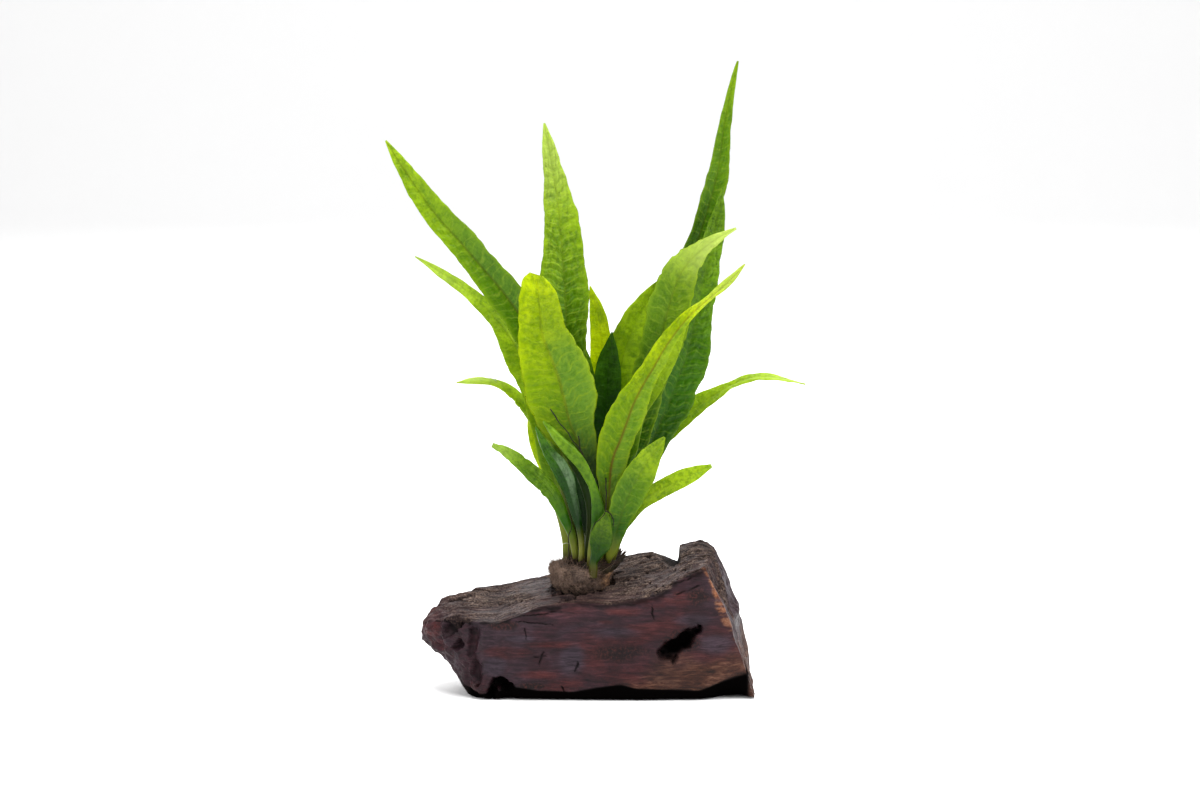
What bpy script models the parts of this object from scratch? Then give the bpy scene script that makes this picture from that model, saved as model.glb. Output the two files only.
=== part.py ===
"""A java fern growing on a piece of driftwood.

The wood lies on its flat underside.  A mat of roots is wedged in a hole in
its top, a rhizome with two branches lies half sunk in the mat, and every
frond stands on the rhizome.  Lengths are written in millimetres and turned
into metres when a mesh is made.  Z is up, the long side of the wood lies
along X, and the fronds spread in the XZ plane.
"""

import math
from typing import NamedTuple

import bmesh
import bpy
import numpy as np

MM = 0.001
GAP = 0.3                      # clearance between neighbouring pieces

# --- fronds -----------------------------------------------------------------
FROND_SIDES = 8                # points round a frond's section
STATION_SPACING = 11.0         # largest distance between two sections
MIN_SECTIONS = 11
STEM_THICKNESS = 2.6           # largest thickness of a stem that has wings
BLADE_THICKNESS = 0.8          # at the midrib of a full-grown blade
BLADE_FOLD = 0.10              # how far the margins rise, as a share of width
STEM_TO_BLADE = (3.0, 9.0)     # widths between which a round stem turns flat

# --- rhizome and root mat -----------------------------------------------------
RHIZOME_SIDES = 8
RHIZOME_SECTIONS = 11
MAT_CENTRE = (-5.6, -2.5, 43.5)
MAT_RADII = (11.8, 14.4)
MAT_HEAP = 3.6                  # the mat's height above its centre
MAT_DEPTH = 13.0                # and its depth below it
MAT_TAPER = 0.5                 # power of the level that draws in its underside
MAT_SEGMENTS = 18
MAT_RINGS = 11
MAT_LUMP = 0.05                # depth of the mat's lumps, as a share of radius

# --- driftwood ------------------------------------------------------------------
WOOD_SECTIONS = 30
FACET_STEPS = 3                # faces between one ridge and the next
FACET_BULGE = 0.6              # how far a facet stands out between its ridges
WOOD_GRAIN = 0.35              # depth of the unevenness along a facet
KNOT_CENTRE = (29.6, -28.5, 20.0)
KNOT_RADII = (9.4, 8.0, 3.2)
KNOT_SLOPE = math.radians(-32.0)
HOLLOW_CENTRE = (-51.0, -18.0, 25.0)
HOLLOW_RADII = (3.4, 4.0, 4.2)
FOOT_NOTCH_CENTRE = (-33.8, -28.0, 6.0)
FOOT_NOTCH_RADII = (3.6, 7.0, 2.6)
STEP_NOTCH_WIDTH = 10.0
STEP_NOTCH_DEPTH = 9.0
STEP_NOTCH_CORNER = (30.6, 42.0)      # x and z of the bottom of the step
STEP_NOTCH_FRONT = -5.0               # y where the step starts
STEP_NOTCH_TILT = math.radians(-24.0)

PALE = (0.42, 0.56, 0.03)
BRIGHT = (0.26, 0.46, 0.03)
GREEN = (0.12, 0.32, 0.03)
DARK = (0.05, 0.20, 0.03)


class Frond(NamedTuple):
    """One frond, from its foot on the rhizome to its tip.

    facing and tilt give the way the upper side looks, in degrees, at the
    foot and at the tip: facing 0 looks along -Y and turns towards +X, and
    tilt is the angle above the horizon.  A station is x, y, z and the full
    width of the blade there.
    """

    name: str
    colour: tuple
    facing: tuple
    tilt: tuple
    stations: tuple


FRONDS = (
    Frond("frond_left_tall", BRIGHT, (-5, -20), (0, 20), (
        (-6.5, -1, 47.8, 2.6), (-9.3, -1, 66, 4.2), (-11.5, -2, 85, 7),
        (-15, -4, 107, 9), (-21.5, -5, 127.5, 12), (-30.5, -6, 142, 12.6),
        (-41, -6, 154.5, 11.2), (-47.5, -6, 162, 10.2), (-56.5, -4, 172, 9.6),
        (-66, -2, 185, 6.4), (-74.6, 0, 197.5, 0.6))),
    Frond("frond_left_arching", BRIGHT, (-10, -15), (0, 35), (
        (-9.9, 2, 47.8, 3.8), (-10.1, 2.4, 52.5, 3.8), (-11.3, 3, 58.5, 3.8),
        (-13.2, 3.7, 67, 4.8), (-16.3, 5, 82, 7.6), (-19.8, 5, 101.5, 10),
        (-24, 5, 113.5, 11.8), (-29, 5, 124, 10), (-36, 5, 133.5, 6.4),
        (-46.7, 5, 143.6, 4.6), (-56, 4, 150.2, 3.2), (-64.6, 3, 155.8, 0.6))),
    Frond("frond_front_broad", PALE, (0, -8), (0, 10), (
        (-2.8, -6.5, 47.5, 2.6), (-1.8, -7.5, 65, 2.8), (-3, -10, 79, 7.5),
        (-5.8, -12, 90, 13.5), (-8.9, -13, 98, 19.5), (-11.3, -14, 108, 24.4),
        (-13.6, -14.3, 116, 24), (-16.2, -14.5, 123, 21.8), (-18.7, -14.8, 130, 18),
        (-19.4, -15, 137, 15.4), (-19.8, -15, 143, 13.4), (-20.2, -14.8, 148, 10.4),
        (-20.8, -14.5, 151, 5))),
    Frond("frond_centre_tall", BRIGHT, (4, 8), (0, 0), (
        (-2.5, -0.3, 47.8, 2.6), (-3.3, 1, 75, 2.6), (-5, 0.5, 92, 5.5),
        (-7.5, 0, 107, 10.6), (-9.4, -0.5, 119, 13.6), (-10.3, -1, 131, 15.2),
        (-10.6, -0.8, 141, 17.8), (-11.4, 0, 153, 16.2), (-12.6, 1, 168, 12.8),
        (-14.2, 2.5, 181, 9), (-16.5, 4, 194, 5.2), (-18.2, 5, 203.5, 0.8))),
    Frond("frond_back_yellow", PALE, (0, -15), (0, 0), (
        (-0.9, 8, 47.8, 2.2), (0.6, 11.4, 73.5, 2.6), (2.3, 13.5, 95.5, 6),
        (3.2, 14.5, 113.5, 8.6), (1.9, 15.6, 128.5, 7.3), (0.5, 16, 136, 5.2),
        (-1.8, 16, 144, 0.6))),
    Frond("frond_right_tallest", BRIGHT, (12, 22), (0, 0), (
        (4.2, 3.8, 47.8, 2.6), (9.9, 6, 70.5, 2.6), (14.8, 8, 87, 3.6),
        (18.3, 8.5, 103, 6), (23.3, 9, 121, 8.4), (29.5, 9.5, 139.5, 9.2),
        (35, 9.5, 156, 8.8), (38.8, 9.5, 167, 8.4), (43.8, 10, 185, 8),
        (46.3, 10.5, 202.5, 5.4), (48.4, 11, 213.5, 3.4), (51.2, 12, 225.5, 0.5))),
    Frond("frond_right_dark", GREEN, (16, 20), (0, 0), (
        (7, 1.9, 48.1, 2.6), (9.6, 2.8, 58.5, 3.6), (14.2, 3, 70.5, 6.8),
        (20, 2.5, 88, 12), (26, 2, 102, 16), (30, 2.5, 112, 16),
        (33.3, 3, 122, 15), (37.5, 4, 140, 11.8), (41.2, 5, 157, 8.8),
        (43.8, 5.5, 170, 5), (45.9, 6, 180.5, 0.6))),
    Frond("frond_right_bright", BRIGHT, (5, 10), (0, 20), (
        (5.1, -0.8, 48.1, 2.4), (8.4, -1.4, 60, 3.6), (12.6, -2, 80, 7),
        (19, -3, 109, 12.4), (24.3, -4, 130, 15.4), (28.2, -5, 144.5, 15.2),
        (32, -5.5, 152.5, 12.5), (37, -6, 158, 8), (43.5, -7, 163, 4),
        (50.1, -8, 166.8, 0.6))),
    Frond("frond_right_back", BRIGHT, (8, 12), (0, 0), (
        (2.6, 7.4, 47.7, 2.2), (3.2, 9, 66.5, 2.6), (5.2, 9.5, 88, 5.4),
        (7.2, 10, 103, 10), (9.8, 10.5, 117.5, 13.5), (14, 11.5, 129.5, 12.5),
        (19, 12.5, 139, 8), (24.3, 13, 147.5, 0.6))),
    Frond("frond_front_yellow", PALE, (0, 10), (0, 35), (
        (1.8, -9.6, 47.8, 2.4), (2.2, -10.4, 55, 2.8), (3.2, -12, 62, 4),
        (4.3, -13.5, 68.9, 5.2), (4.7, -15, 75.5, 7), (4.9, -16.4, 81.5, 9.8),
        (6, -17.2, 87, 11.2), (8, -18, 92, 12.2), (10.3, -18.7, 98.5, 12.8),
        (12.9, -19, 105.5, 11.5), (16.3, -19, 112, 9.6), (19.8, -19, 117.7, 8),
        (24.8, -18, 126, 7), (31.9, -17, 135, 4.5), (39.3, -15, 141.5, 2.4),
        (46.9, -12, 147.6, 3), (53.3, -9, 154, 0.6))),
    Frond("frond_right_inner", BRIGHT, (10, 15), (0, 15), (
        (3.7, -5.7, 47.9, 2.4), (5.6, -7.2, 60, 3.4), (8.4, -9, 74.4, 6),
        (11, -10.5, 87, 7.4), (14, -11.5, 101.5, 8), (20, -11.5, 113, 9.6),
        (26, -11, 122.5, 7.6), (32.5, -10, 132.5, 0.6))),
    Frond("frond_centre_dark", DARK, (5, 10), (0, 0), (
        (1, 3.1, 47.8, 2.2), (1.8, 3.8, 60, 4.2), (2.9, 4.5, 80, 8),
        (4, 5, 102, 10.4), (4.9, 5.5, 117, 8.4), (6.1, 6, 128.3, 0.6))),
    Frond("frond_right_far", BRIGHT, (10, 0), (10, 75), (
        (7.6, 5.3, 47.9, 2.2), (11.8, 8.6, 67, 2.8), (20, 11, 83, 5),
        (26, 11, 91.5, 8.5), (31.5, 10.5, 96.8, 10), (40, 10, 102.6, 8.5),
        (50.5, 9, 109, 5), (58, 8, 111.3, 4), (66, 7, 111.3, 3.6),
        (76.2, 6, 109.3, 0.5))),
    Frond("frond_right_low", BRIGHT, (5, 10), (5, 40), (
        (6.6, -3.9, 48.1, 2.4), (9, -5.4, 56.5, 3), (12.2, -7.2, 62.8, 4.8),
        (16.8, -9, 68.8, 6.2), (26.8, -11, 75, 7), (34.5, -12, 78.7, 6),
        (41.8, -12, 82, 1.4))),
    Frond("frond_right_front", BRIGHT, (0, 10), (0, 15), (
        (4.9, -8.8, 47.9, 2.6), (6.3, -12, 52.5, 4.4), (7.4, -13.9, 58, 6.5),
        (9, -16, 63.6, 8.6), (10.6, -18, 69, 11), (13.2, -20.2, 75.5, 11.2),
        (16.8, -22, 82, 10), (20, -23, 87.3, 7.6), (22.3, -23.5, 90.8, 5.2),
        (24.6, -23.5, 94, 0.8))),
    Frond("frond_left_ragged", BRIGHT, (-10, -5), (0, 65), (
        (-8.5, 6.5, 47.8, 2.2), (-12.8, 8.5, 66.7, 2.2), (-17.4, 9.6, 85, 2.6),
        (-23.6, 9.8, 98, 4), (-27.9, 8.5, 103.6, 5), (-32.5, 8, 107.7, 4.5),
        (-37.9, 7, 110, 3.4), (-43.3, 6, 110.5, 3.6), (-50.1, 5, 110, 0.5))),
    Frond("frond_left_notched", GREEN, (-10, 0), (0, 45), (
        (-6.9, -6.4, 47.9, 2.4), (-8.3, -7.4, 56, 3), (-10.8, -9.2, 62.5, 3.6),
        (-13.9, -11.2, 69.6, 5.2), (-17.6, -13.3, 75, 6.2), (-22.5, -15.4, 80, 6.4),
        (-30.9, -18, 87.2, 5.2), (-36.5, -19, 90.4, 2.4))),
    Frond("frond_left_glossy", DARK, (-5, -10), (0, 20), (
        (-4.9, -9.3, 47.9, 2.2), (-4.8, -10, 53, 2.2), (-5.5, -11.2, 59.2, 2.6),
        (-7, -12.7, 65.7, 3.8), (-8.6, -14, 72.1, 4.6), (-10.3, -15.5, 77.5, 6.2),
        (-13.2, -17, 83.3, 5.8), (-16.3, -18, 87.8, 4.2), (-19, -19, 92.8, 2.4),
        (-21, -19.5, 97, 0.6))),
    Frond("frond_inner_curly", GREEN, (0, -10), (0, 20), (
        (-1.8, -12.2, 47.7, 2.2), (-1.4, -13, 53, 2.2), (-0.2, -14, 58, 3.2),
        (1, -15, 62.5, 4.6), (1, -16, 67, 4.6), (0.4, -17, 71.4, 3.8),
        (-0.9, -18.6, 76, 3.2), (-2.9, -20.3, 80.4, 3.6), (-5.2, -21.7, 84.6, 4.2),
        (-8.6, -22.8, 88.7, 4.4), (-12.1, -23.6, 92.4, 3.6), (-15.1, -24.4, 96.2, 2.5),
        (-18.2, -25, 99.8, 0.6))),
    Frond("frond_mid_speckled", GREEN, (0, -5), (0, 0), (
        (-3.4, 4.2, 47.8, 2.2), (-2.6, 6, 60, 4), (-1.8, 8, 80, 8.5),
        (-2.9, 9, 100, 11), (-4.4, 9.5, 114, 9), (-6.5, 10, 128.7, 0.6))),
    Frond("frond_left_yellow", PALE, (-10, -10), (0, 0), (
        (-4.6, 9.4, 47.8, 2.2), (-9.5, 11.2, 60, 2.4), (-14.4, 11.6, 69.4, 3),
        (-17.4, 12.3, 76.6, 4.6), (-19.7, 13.2, 83.5, 6), (-21, 14, 90, 6.8),
        (-21.6, 14.2, 96, 6), (-22.6, 14, 105, 0.6))),
    Frond("frond_front_small", GREEN, (0, 0), (0, 5), (
        (-0.6, -15.3, 45.2, 3.2), (-0.4, -15.5, 47.9, 3), (0.6, -16.2, 50.8, 4.4),
        (1.7, -16.9, 54.2, 7.6), (2.4, -17.6, 57.9, 8), (3, -18.1, 61.1, 6.4),
        (3.8, -18.4, 64.4, 3.6), (4, -18.2, 66.9, 0.8))),
    Frond("frond_young", DARK, (0, -5), (0, 0), (
        (0.4, -3.2, 47.5, 2.2), (-1.4, -3.7, 54, 2.8), (-3.3, -4.3, 61, 5),
        (-4.3, -5, 70, 5.8), (-5.2, -5.7, 79, 6), (-6.6, -6.4, 88, 4.6),
        (-8, -7, 97, 0.6))),
)

# A rhizome's rows are x, y, z and its radius there.
RHIZOMES = {
    "rhizome": (
        (-9.5, -4.5, 44.3, 1.5), (-6, -8.8, 44.8, 2.2), (-1.5, -10.6, 44.7, 2.4),
        (3.2, -8.4, 44.7, 2.3), (5.6, -3.6, 44.9, 2.4), (7.3, 1.8, 45.2, 2.2),
        (9.6, 5.6, 46, 1.4)),
    "rhizome_left_branch": (
        (-11.6, 1.2, 44.2, 1.4), (-7.5, 0, 44.8, 2.3), (-2.6, -2.2, 44.8, 2.2),
        (1.2, -2.1, 44.8, 1.4)),
    "rhizome_back_branch": (
        (-10, 6.6, 44.2, 1.4), (-5.5, 6.6, 44.8, 2.2), (-0.8, 6, 44.8, 2.3),
        (2.9, 6.2, 44.8, 1.6)),
}

# The wood's ridges, each from the nose at -X to the sawn end at +X.
RIDGES = (
    ("upper_front", (
        (-62.5, -6, 23), (-58, -11, 26), (-50, -18, 27.5), (-35.5, -24.5, 27.5),
        (-26.5, -25, 31), (-19.5, -24.5, 33.4), (-9, -24, 34.8),
        (3, -24, 34.4), (14, -24, 35.4), (21.5, -24, 37.6), (26.7, -23.5, 41),
        (33.8, -23, 45), (39, -22, 47.5))),
    ("middle_front", (
        (-63.3, -6, 21), (-58, -12, 20), (-50, -19, 19), (-43, -23.5, 17),
        (-30, -26, 17.5), (0, -27, 18), (25, -27, 20), (40, -26.5, 23),
        (48.3, -25.5, 26))),
    ("lower_front", (
        (-62.5, -5, 19), (-58, -10, 15.5), (-52, -14, 10.5), (-46, -20, 3.6),
        (-41, -24, 1.6), (-34.5, -25, 3.2), (-29, -26.3, 5), (-20, -26.6, 3.4),
        (-8, -26.8, 3), (1, -26.8, 4.8), (9, -26.8, 6), (14, -26.8, 4.6),
        (37, -26.5, 3.4), (42, -26, 5.2), (47, -25.3, 7.6), (54, -24, 9.6))),
    ("front_foot", (
        (-61.5, -3, 17.5), (-52, -9, 9), (-45.5, -18, 0), (-41, -22.5, 0),
        (-35, -23.5, 0), (-31.5, -21, 0), (-27, -23.5, 0), (-15, -25, 0),
        (0, -25, 0), (20, -25, 0), (38, -24.5, 0), (42.5, -22.5, 0),
        (46, -17.5, 0), (51.5, -17, 0), (54.8, -21.5, 0), (57, -23.5, 0))),
    ("back_foot", (
        (-61.5, 0, 18), (-52, 3, 10), (-44, 10, 0), (-20, 17, 0), (0, 19, 0),
        (38, 18, 0), (57.5, 13, 0))),
    ("middle_back", (
        (-62.5, 1, 21), (-55, 9, 20), (-44, 18, 17), (-25, 23, 17),
        (0, 25, 19), (28, 24, 21), (54.3, 17, 21))),
    ("upper_back", (
        (-62, -1, 24), (-59, 2, 28), (-54.7, 6, 31.2), (-46.8, 10, 32.3),
        (-43, 15, 33.5), (-35, 18, 33.5), (-27.5, 18.5, 35), (-18.5, 19, 36.9),
        (-5, 19.5, 40), (11, 19, 43.7), (16.5, 18.5, 45.4), (24.6, 18, 47),
        (31, 17, 49), (39, 16, 51.4), (44, 15, 48.5))),
)


def catmull_rom(rows, steps):
    """Return the smooth curve through rows, with steps points a stretch."""
    rows = np.asarray(rows, float)
    padded = np.vstack([2 * rows[0] - rows[1], rows, 2 * rows[-1] - rows[-2]])
    t = np.linspace(0.0, 1.0, steps, endpoint=False)[:, None]
    pieces = []
    for a, b, c, d in zip(padded, padded[1:], padded[2:], padded[3:]):
        pieces.append(0.5 * (2 * b + (c - a) * t
                             + (2 * a - 5 * b + 4 * c - d) * t ** 2
                             + (3 * b - a - 3 * c + d) * t ** 3))
    return np.vstack(pieces + [rows[-1]])


def evenly_along(curve, count):
    """Read a curve at count points that lie the same length apart."""
    steps = np.linalg.norm(np.diff(curve[:, :3], axis=0), axis=1)
    travelled = np.concatenate([[0.0], np.cumsum(steps)])
    wanted = np.linspace(0.0, travelled[-1], count)
    columns = [np.interp(wanted, travelled, column) for column in curve.T]
    return np.stack(columns, axis=1)


def unit(vectors):
    """Scale each row to length one."""
    return vectors / np.linalg.norm(vectors, axis=1, keepdims=True)


def loft(name, rings):
    """Skin a closed body over rings of points, all in millimetres."""
    count = len(rings[0])
    points = [tuple(point) for ring in rings for point in ring * MM]
    faces = []
    for ring in range(len(rings) - 1):
        for side in range(count):
            following = (side + 1) % count
            low, high = ring * count, (ring + 1) * count
            faces.append((low + side, low + following,
                          high + following, high + side))
    for ring, flip in ((0, True), (len(rings) - 1, False)):
        centre = len(points)
        points.append(tuple(rings[ring].mean(axis=0) * MM))
        for side in range(count):
            edge = (ring * count + side, ring * count + (side + 1) % count)
            faces.append((edge[1], edge[0], centre) if flip
                         else (edge[0], edge[1], centre))
    mesh = bpy.data.meshes.new(name)
    mesh.from_pydata(points, [], faces)
    work = bmesh.new()
    work.from_mesh(mesh)
    bmesh.ops.recalc_face_normals(work, faces=work.faces)
    work.to_mesh(mesh)
    work.free()
    return mesh


def place(mesh, collection, colour=None, roughness=0.5):
    """Put a mesh in the collection as an object with its own material."""
    thing = bpy.data.objects.new(mesh.name, mesh)
    collection.objects.link(thing)
    if colour is not None:
        material = bpy.data.materials.new(mesh.name)
        material.use_nodes = True
        shader = material.node_tree.nodes["Principled BSDF"]
        shader.inputs["Base Color"].default_value = (*colour, 1.0)
        shader.inputs["Roughness"].default_value = roughness
        shader.inputs["Metallic"].default_value = 0.0
        mesh.materials.append(material)
        mesh.shade_smooth()
        mesh.set_sharp_from_angle(angle=math.radians(40))
    return thing


def cut(thing, cutter):
    """Take a closed cutter out of a thing, and hide the cutter."""
    cutter.hide_render = True
    cutter.display_type = "WIRE"
    boolean = thing.modifiers.new(f"cut_{cutter.name}", "BOOLEAN")
    boolean.operation = "DIFFERENCE"
    boolean.solver = "EXACT"
    boolean.object = cutter


def ellipsoid(name, centre, radii, turn=0.0):
    """Make a ball with three radii, turned about Y by turn."""
    mesh = bpy.data.meshes.new(name)
    work = bmesh.new()
    bmesh.ops.create_uvsphere(work, u_segments=12, v_segments=8, radius=1.0)
    cosine, sine = math.cos(turn), math.sin(turn)
    for vertex in work.verts:
        x, y, z = (vertex.co[axis] * radii[axis] for axis in range(3))
        vertex.co = ((centre[0] + x * cosine + z * sine) * MM,
                     (centre[1] + y) * MM,
                     (centre[2] - x * sine + z * cosine) * MM)
    work.to_mesh(mesh)
    work.free()
    return mesh


def frond_mesh(frond):
    """Loft a frond: a round stem that flattens into a thin, folded blade."""
    curve = catmull_rom(frond.stations, 16)
    length = np.linalg.norm(np.diff(curve[:, :3], axis=0), axis=1).sum()
    count = max(MIN_SECTIONS, round(length / STATION_SPACING) + 1)
    rows = evenly_along(curve, count)
    spine, width = rows[:, :3], np.maximum(rows[:, 3], 0.5)
    tangent = unit(np.gradient(spine, axis=0))
    way = np.linspace(0.0, 1.0, count)
    azimuth = np.radians(np.interp(way, (0, 1), frond.facing))
    tilt = np.radians(np.interp(way, (0, 1), frond.tilt))
    facing = np.stack([np.sin(azimuth) * np.cos(tilt),
                       -np.cos(azimuth) * np.cos(tilt),
                       np.sin(tilt)], axis=1)
    along = (facing * tangent).sum(axis=1, keepdims=True)
    normal = unit(facing - along * tangent)
    side = np.cross(tangent, normal)
    flat = np.clip((width - STEM_TO_BLADE[0])
                   / (STEM_TO_BLADE[1] - STEM_TO_BLADE[0]), 0.0, 1.0)
    past_stem = np.maximum.accumulate(flat) > 0.3
    flat = np.where(past_stem, np.maximum.accumulate(flat), flat)
    stem = np.minimum(width, STEM_THICKNESS)
    thickness = stem + flat * (np.minimum(BLADE_THICKNESS, stem) - stem)
    rings = []
    for row in range(count):
        angle = np.arange(FROND_SIDES) * 2 * math.pi / FROND_SIDES
        across = 0.5 * width[row] * np.cos(angle)
        above = (0.5 * thickness[row] * np.sin(angle)
                 + 2 * BLADE_FOLD * flat[row] * np.abs(across))
        rings.append(spine[row] + across[:, None] * side[row]
                     + above[:, None] * normal[row])
    return loft(frond.name, rings)


def rhizome_mesh(name, route, grow=0.0):
    """Loft a round rhizome along its route, fatter by grow all over."""
    rows = evenly_along(catmull_rom(route, 16), RHIZOME_SECTIONS)
    spine = rows[:, :3]
    radius = rows[:, 3] + grow
    tangent = unit(np.gradient(spine, axis=0))
    spine[0] -= tangent[0] * grow
    spine[-1] += tangent[-1] * grow
    up = np.array([[0.0, 0.0, 1.0]])
    side = unit(np.cross(tangent, up))
    normal = np.cross(side, tangent)
    angle = np.arange(RHIZOME_SIDES) * 2 * math.pi / RHIZOME_SIDES
    rings = [spine[row] + radius[row] * (np.cos(angle)[:, None] * side[row]
                                         + np.sin(angle)[:, None] * normal[row])
             for row in range(RHIZOME_SECTIONS)]
    return loft(name, rings)


def mat_mesh(name, grow=0.0):
    """Make the lumpy root mat, a bowl with a low heap, fatter by grow all over."""
    mesh = bpy.data.meshes.new(name)
    work = bmesh.new()
    bmesh.ops.create_uvsphere(work, u_segments=MAT_SEGMENTS,
                              v_segments=MAT_RINGS, radius=1.0)
    for vertex in work.verts:
        x, y, z = vertex.co
        turn = math.atan2(y, x)
        level = math.hypot(x, y)
        lump = 1 + MAT_LUMP * level * (math.sin(3 * turn + 0.7)
                                       + 0.6 * math.sin(5 * turn + 2.0))
        if z < 0:
            lump = lump * level ** MAT_TAPER
        tall = MAT_HEAP if z > 0 else MAT_DEPTH
        vertex.co = ((MAT_CENTRE[0] + x * lump * (MAT_RADII[0] + grow)) * MM,
                     (MAT_CENTRE[1] + y * lump * (MAT_RADII[1] + grow)) * MM,
                     (MAT_CENTRE[2] + z * (tall + grow)) * MM)
    work.to_mesh(mesh)
    work.free()
    return mesh


def wood_mesh():
    """Skin the driftwood over its ridges, with bulging, uneven facets."""
    way = np.linspace(0.0, 1.0, WOOD_SECTIONS)
    lines = []
    for _, points in RIDGES:
        points = np.asarray(points, float)
        x = np.interp(way, (0, 1), (points[0, 0], points[-1, 0]))
        lines.append(np.stack([x, np.interp(x, points[:, 0], points[:, 1]),
                               np.interp(x, points[:, 0], points[:, 2])], axis=1))
    rings = []
    for row in range(WOOD_SECTIONS):
        corners = np.array([line[row] for line in lines])
        middle = corners.mean(axis=0)
        ring = []
        for corner, following in zip(corners, np.roll(corners, -1, axis=0)):
            for step in range(FACET_STEPS):
                share = step / FACET_STEPS
                point = corner + share * (following - corner)
                floor_face = corner[2] < 0.01 and following[2] < 0.01
                if step and not floor_face:
                    outward = point - middle
                    outward[0] = 0.0
                    outward /= np.linalg.norm(outward) + 1e-9
                    rise = FACET_BULGE * math.sin(math.pi * share)
                    rise += WOOD_GRAIN * math.sin(1.7 * row + 2.3 * len(ring))
                    point = point + rise * outward
                    point[2] = max(point[2], 0.0)
                ring.append(point)
        rings.append(np.array(ring))
    return loft("driftwood", rings)


def step_notch_mesh():
    """Make the block that cuts the step into the wood's back edge."""
    mesh = bpy.data.meshes.new("step_notch")
    work = bmesh.new()
    bmesh.ops.create_cube(work, size=1.0)
    cosine, sine = math.cos(STEP_NOTCH_TILT), math.sin(STEP_NOTCH_TILT)
    depth_in_y = 30.0
    for vertex in work.verts:
        x = (vertex.co.x - 0.5) * STEP_NOTCH_WIDTH
        z = (vertex.co.z + 0.5) * STEP_NOTCH_DEPTH
        y = (vertex.co.y + 0.5) * depth_in_y
        shear = x * sine / cosine
        vertex.co = ((STEP_NOTCH_CORNER[0] + x) * MM,
                     (STEP_NOTCH_FRONT + y) * MM,
                     (STEP_NOTCH_CORNER[1] + z + shear) * MM)
    work.to_mesh(mesh)
    work.free()
    return mesh


def main():
    """Build every piece into the object's collection."""
    for thing in list(bpy.data.objects):
        bpy.data.objects.remove(thing)
    pieces = bpy.data.collections.new("java_fern_on_driftwood")
    cutters = bpy.data.collections.new("cutters")
    bpy.context.scene.collection.children.link(pieces)
    bpy.context.scene.collection.children.link(cutters)

    wood = place(wood_mesh(), pieces, (0.09, 0.035, 0.04), 0.35)
    for cutter in (mat_mesh("mat_pocket", GAP),
                   ellipsoid("knot_hole", KNOT_CENTRE, KNOT_RADII, KNOT_SLOPE),
                   ellipsoid("nose_hollow", HOLLOW_CENTRE, HOLLOW_RADII),
                   ellipsoid("foot_notch", FOOT_NOTCH_CENTRE, FOOT_NOTCH_RADII),
                   step_notch_mesh()):
        cut(wood, place(cutter, cutters))

    root_mat = place(mat_mesh("root_mat"), pieces, (0.16, 0.11, 0.08), 0.9)
    for name, route in RHIZOMES.items():
        cut(root_mat, place(rhizome_mesh(f"{name}_groove", route, GAP), cutters))
        place(rhizome_mesh(name, route), pieces, (0.03, 0.02, 0.015), 0.6)

    for frond in FRONDS:
        place(frond_mesh(frond), pieces, frond.colour, 0.35)


main()
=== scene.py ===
"""The finished look of a java fern that grows on a piece of driftwood.

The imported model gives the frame: where the wood stands, where the root mat is
wedged in it, and where every frond grows.  Each of its plain solids is
replaced here by a surface worked out with numpy, in the same place and at the
same size.  Lengths are in millimetres until a mesh is written in metres.
"""

import logging
import math
from dataclasses import dataclass, field
from enum import Enum

import bpy
import numpy as np
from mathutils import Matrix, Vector


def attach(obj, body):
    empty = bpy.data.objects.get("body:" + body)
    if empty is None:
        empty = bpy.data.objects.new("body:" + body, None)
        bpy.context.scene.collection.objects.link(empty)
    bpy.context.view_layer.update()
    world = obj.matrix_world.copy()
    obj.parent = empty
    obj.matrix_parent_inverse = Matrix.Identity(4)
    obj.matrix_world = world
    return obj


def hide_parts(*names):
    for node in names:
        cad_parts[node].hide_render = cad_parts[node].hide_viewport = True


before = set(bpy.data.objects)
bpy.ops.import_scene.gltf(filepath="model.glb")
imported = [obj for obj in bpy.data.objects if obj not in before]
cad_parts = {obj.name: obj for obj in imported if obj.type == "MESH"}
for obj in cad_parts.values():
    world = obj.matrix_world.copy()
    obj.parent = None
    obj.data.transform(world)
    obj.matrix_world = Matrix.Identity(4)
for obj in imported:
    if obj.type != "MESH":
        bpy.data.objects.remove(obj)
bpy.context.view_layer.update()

LOG = logging.getLogger("java_fern")
MM = 0.001
ROOT_BODY = "root"

Point = tuple[float, float, float]
Station = tuple[float, float, float, float]
Patch = tuple[float, float, float, float]
Split = tuple[float, float, float, float, float]
Marks = dict[str, np.ndarray]
Socket = bpy.types.NodeSocket


# --- shapes from arrays -------------------------------------------------------


def unit(vectors: np.ndarray) -> np.ndarray:
    """Scale every vector in the last axis to length one."""
    return vectors / np.maximum(np.linalg.norm(vectors, axis=-1, keepdims=True), 1e-9)


def smooth_step(value: np.ndarray, low: float, high: float) -> np.ndarray:
    """Rise smoothly from 0 at low to 1 at high."""
    share = np.clip((value - low) / (high - low), 0.0, 1.0)
    return share * share * (3.0 - 2.0 * share)


def band(value: np.ndarray, rise: tuple[float, float],
         fall: tuple[float, float]) -> np.ndarray:
    """Be 1 from the end of a rise to the start of a fall, and 0 beyond both."""
    return smooth_step(value, *rise) * (1.0 - smooth_step(value, *fall))


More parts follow.
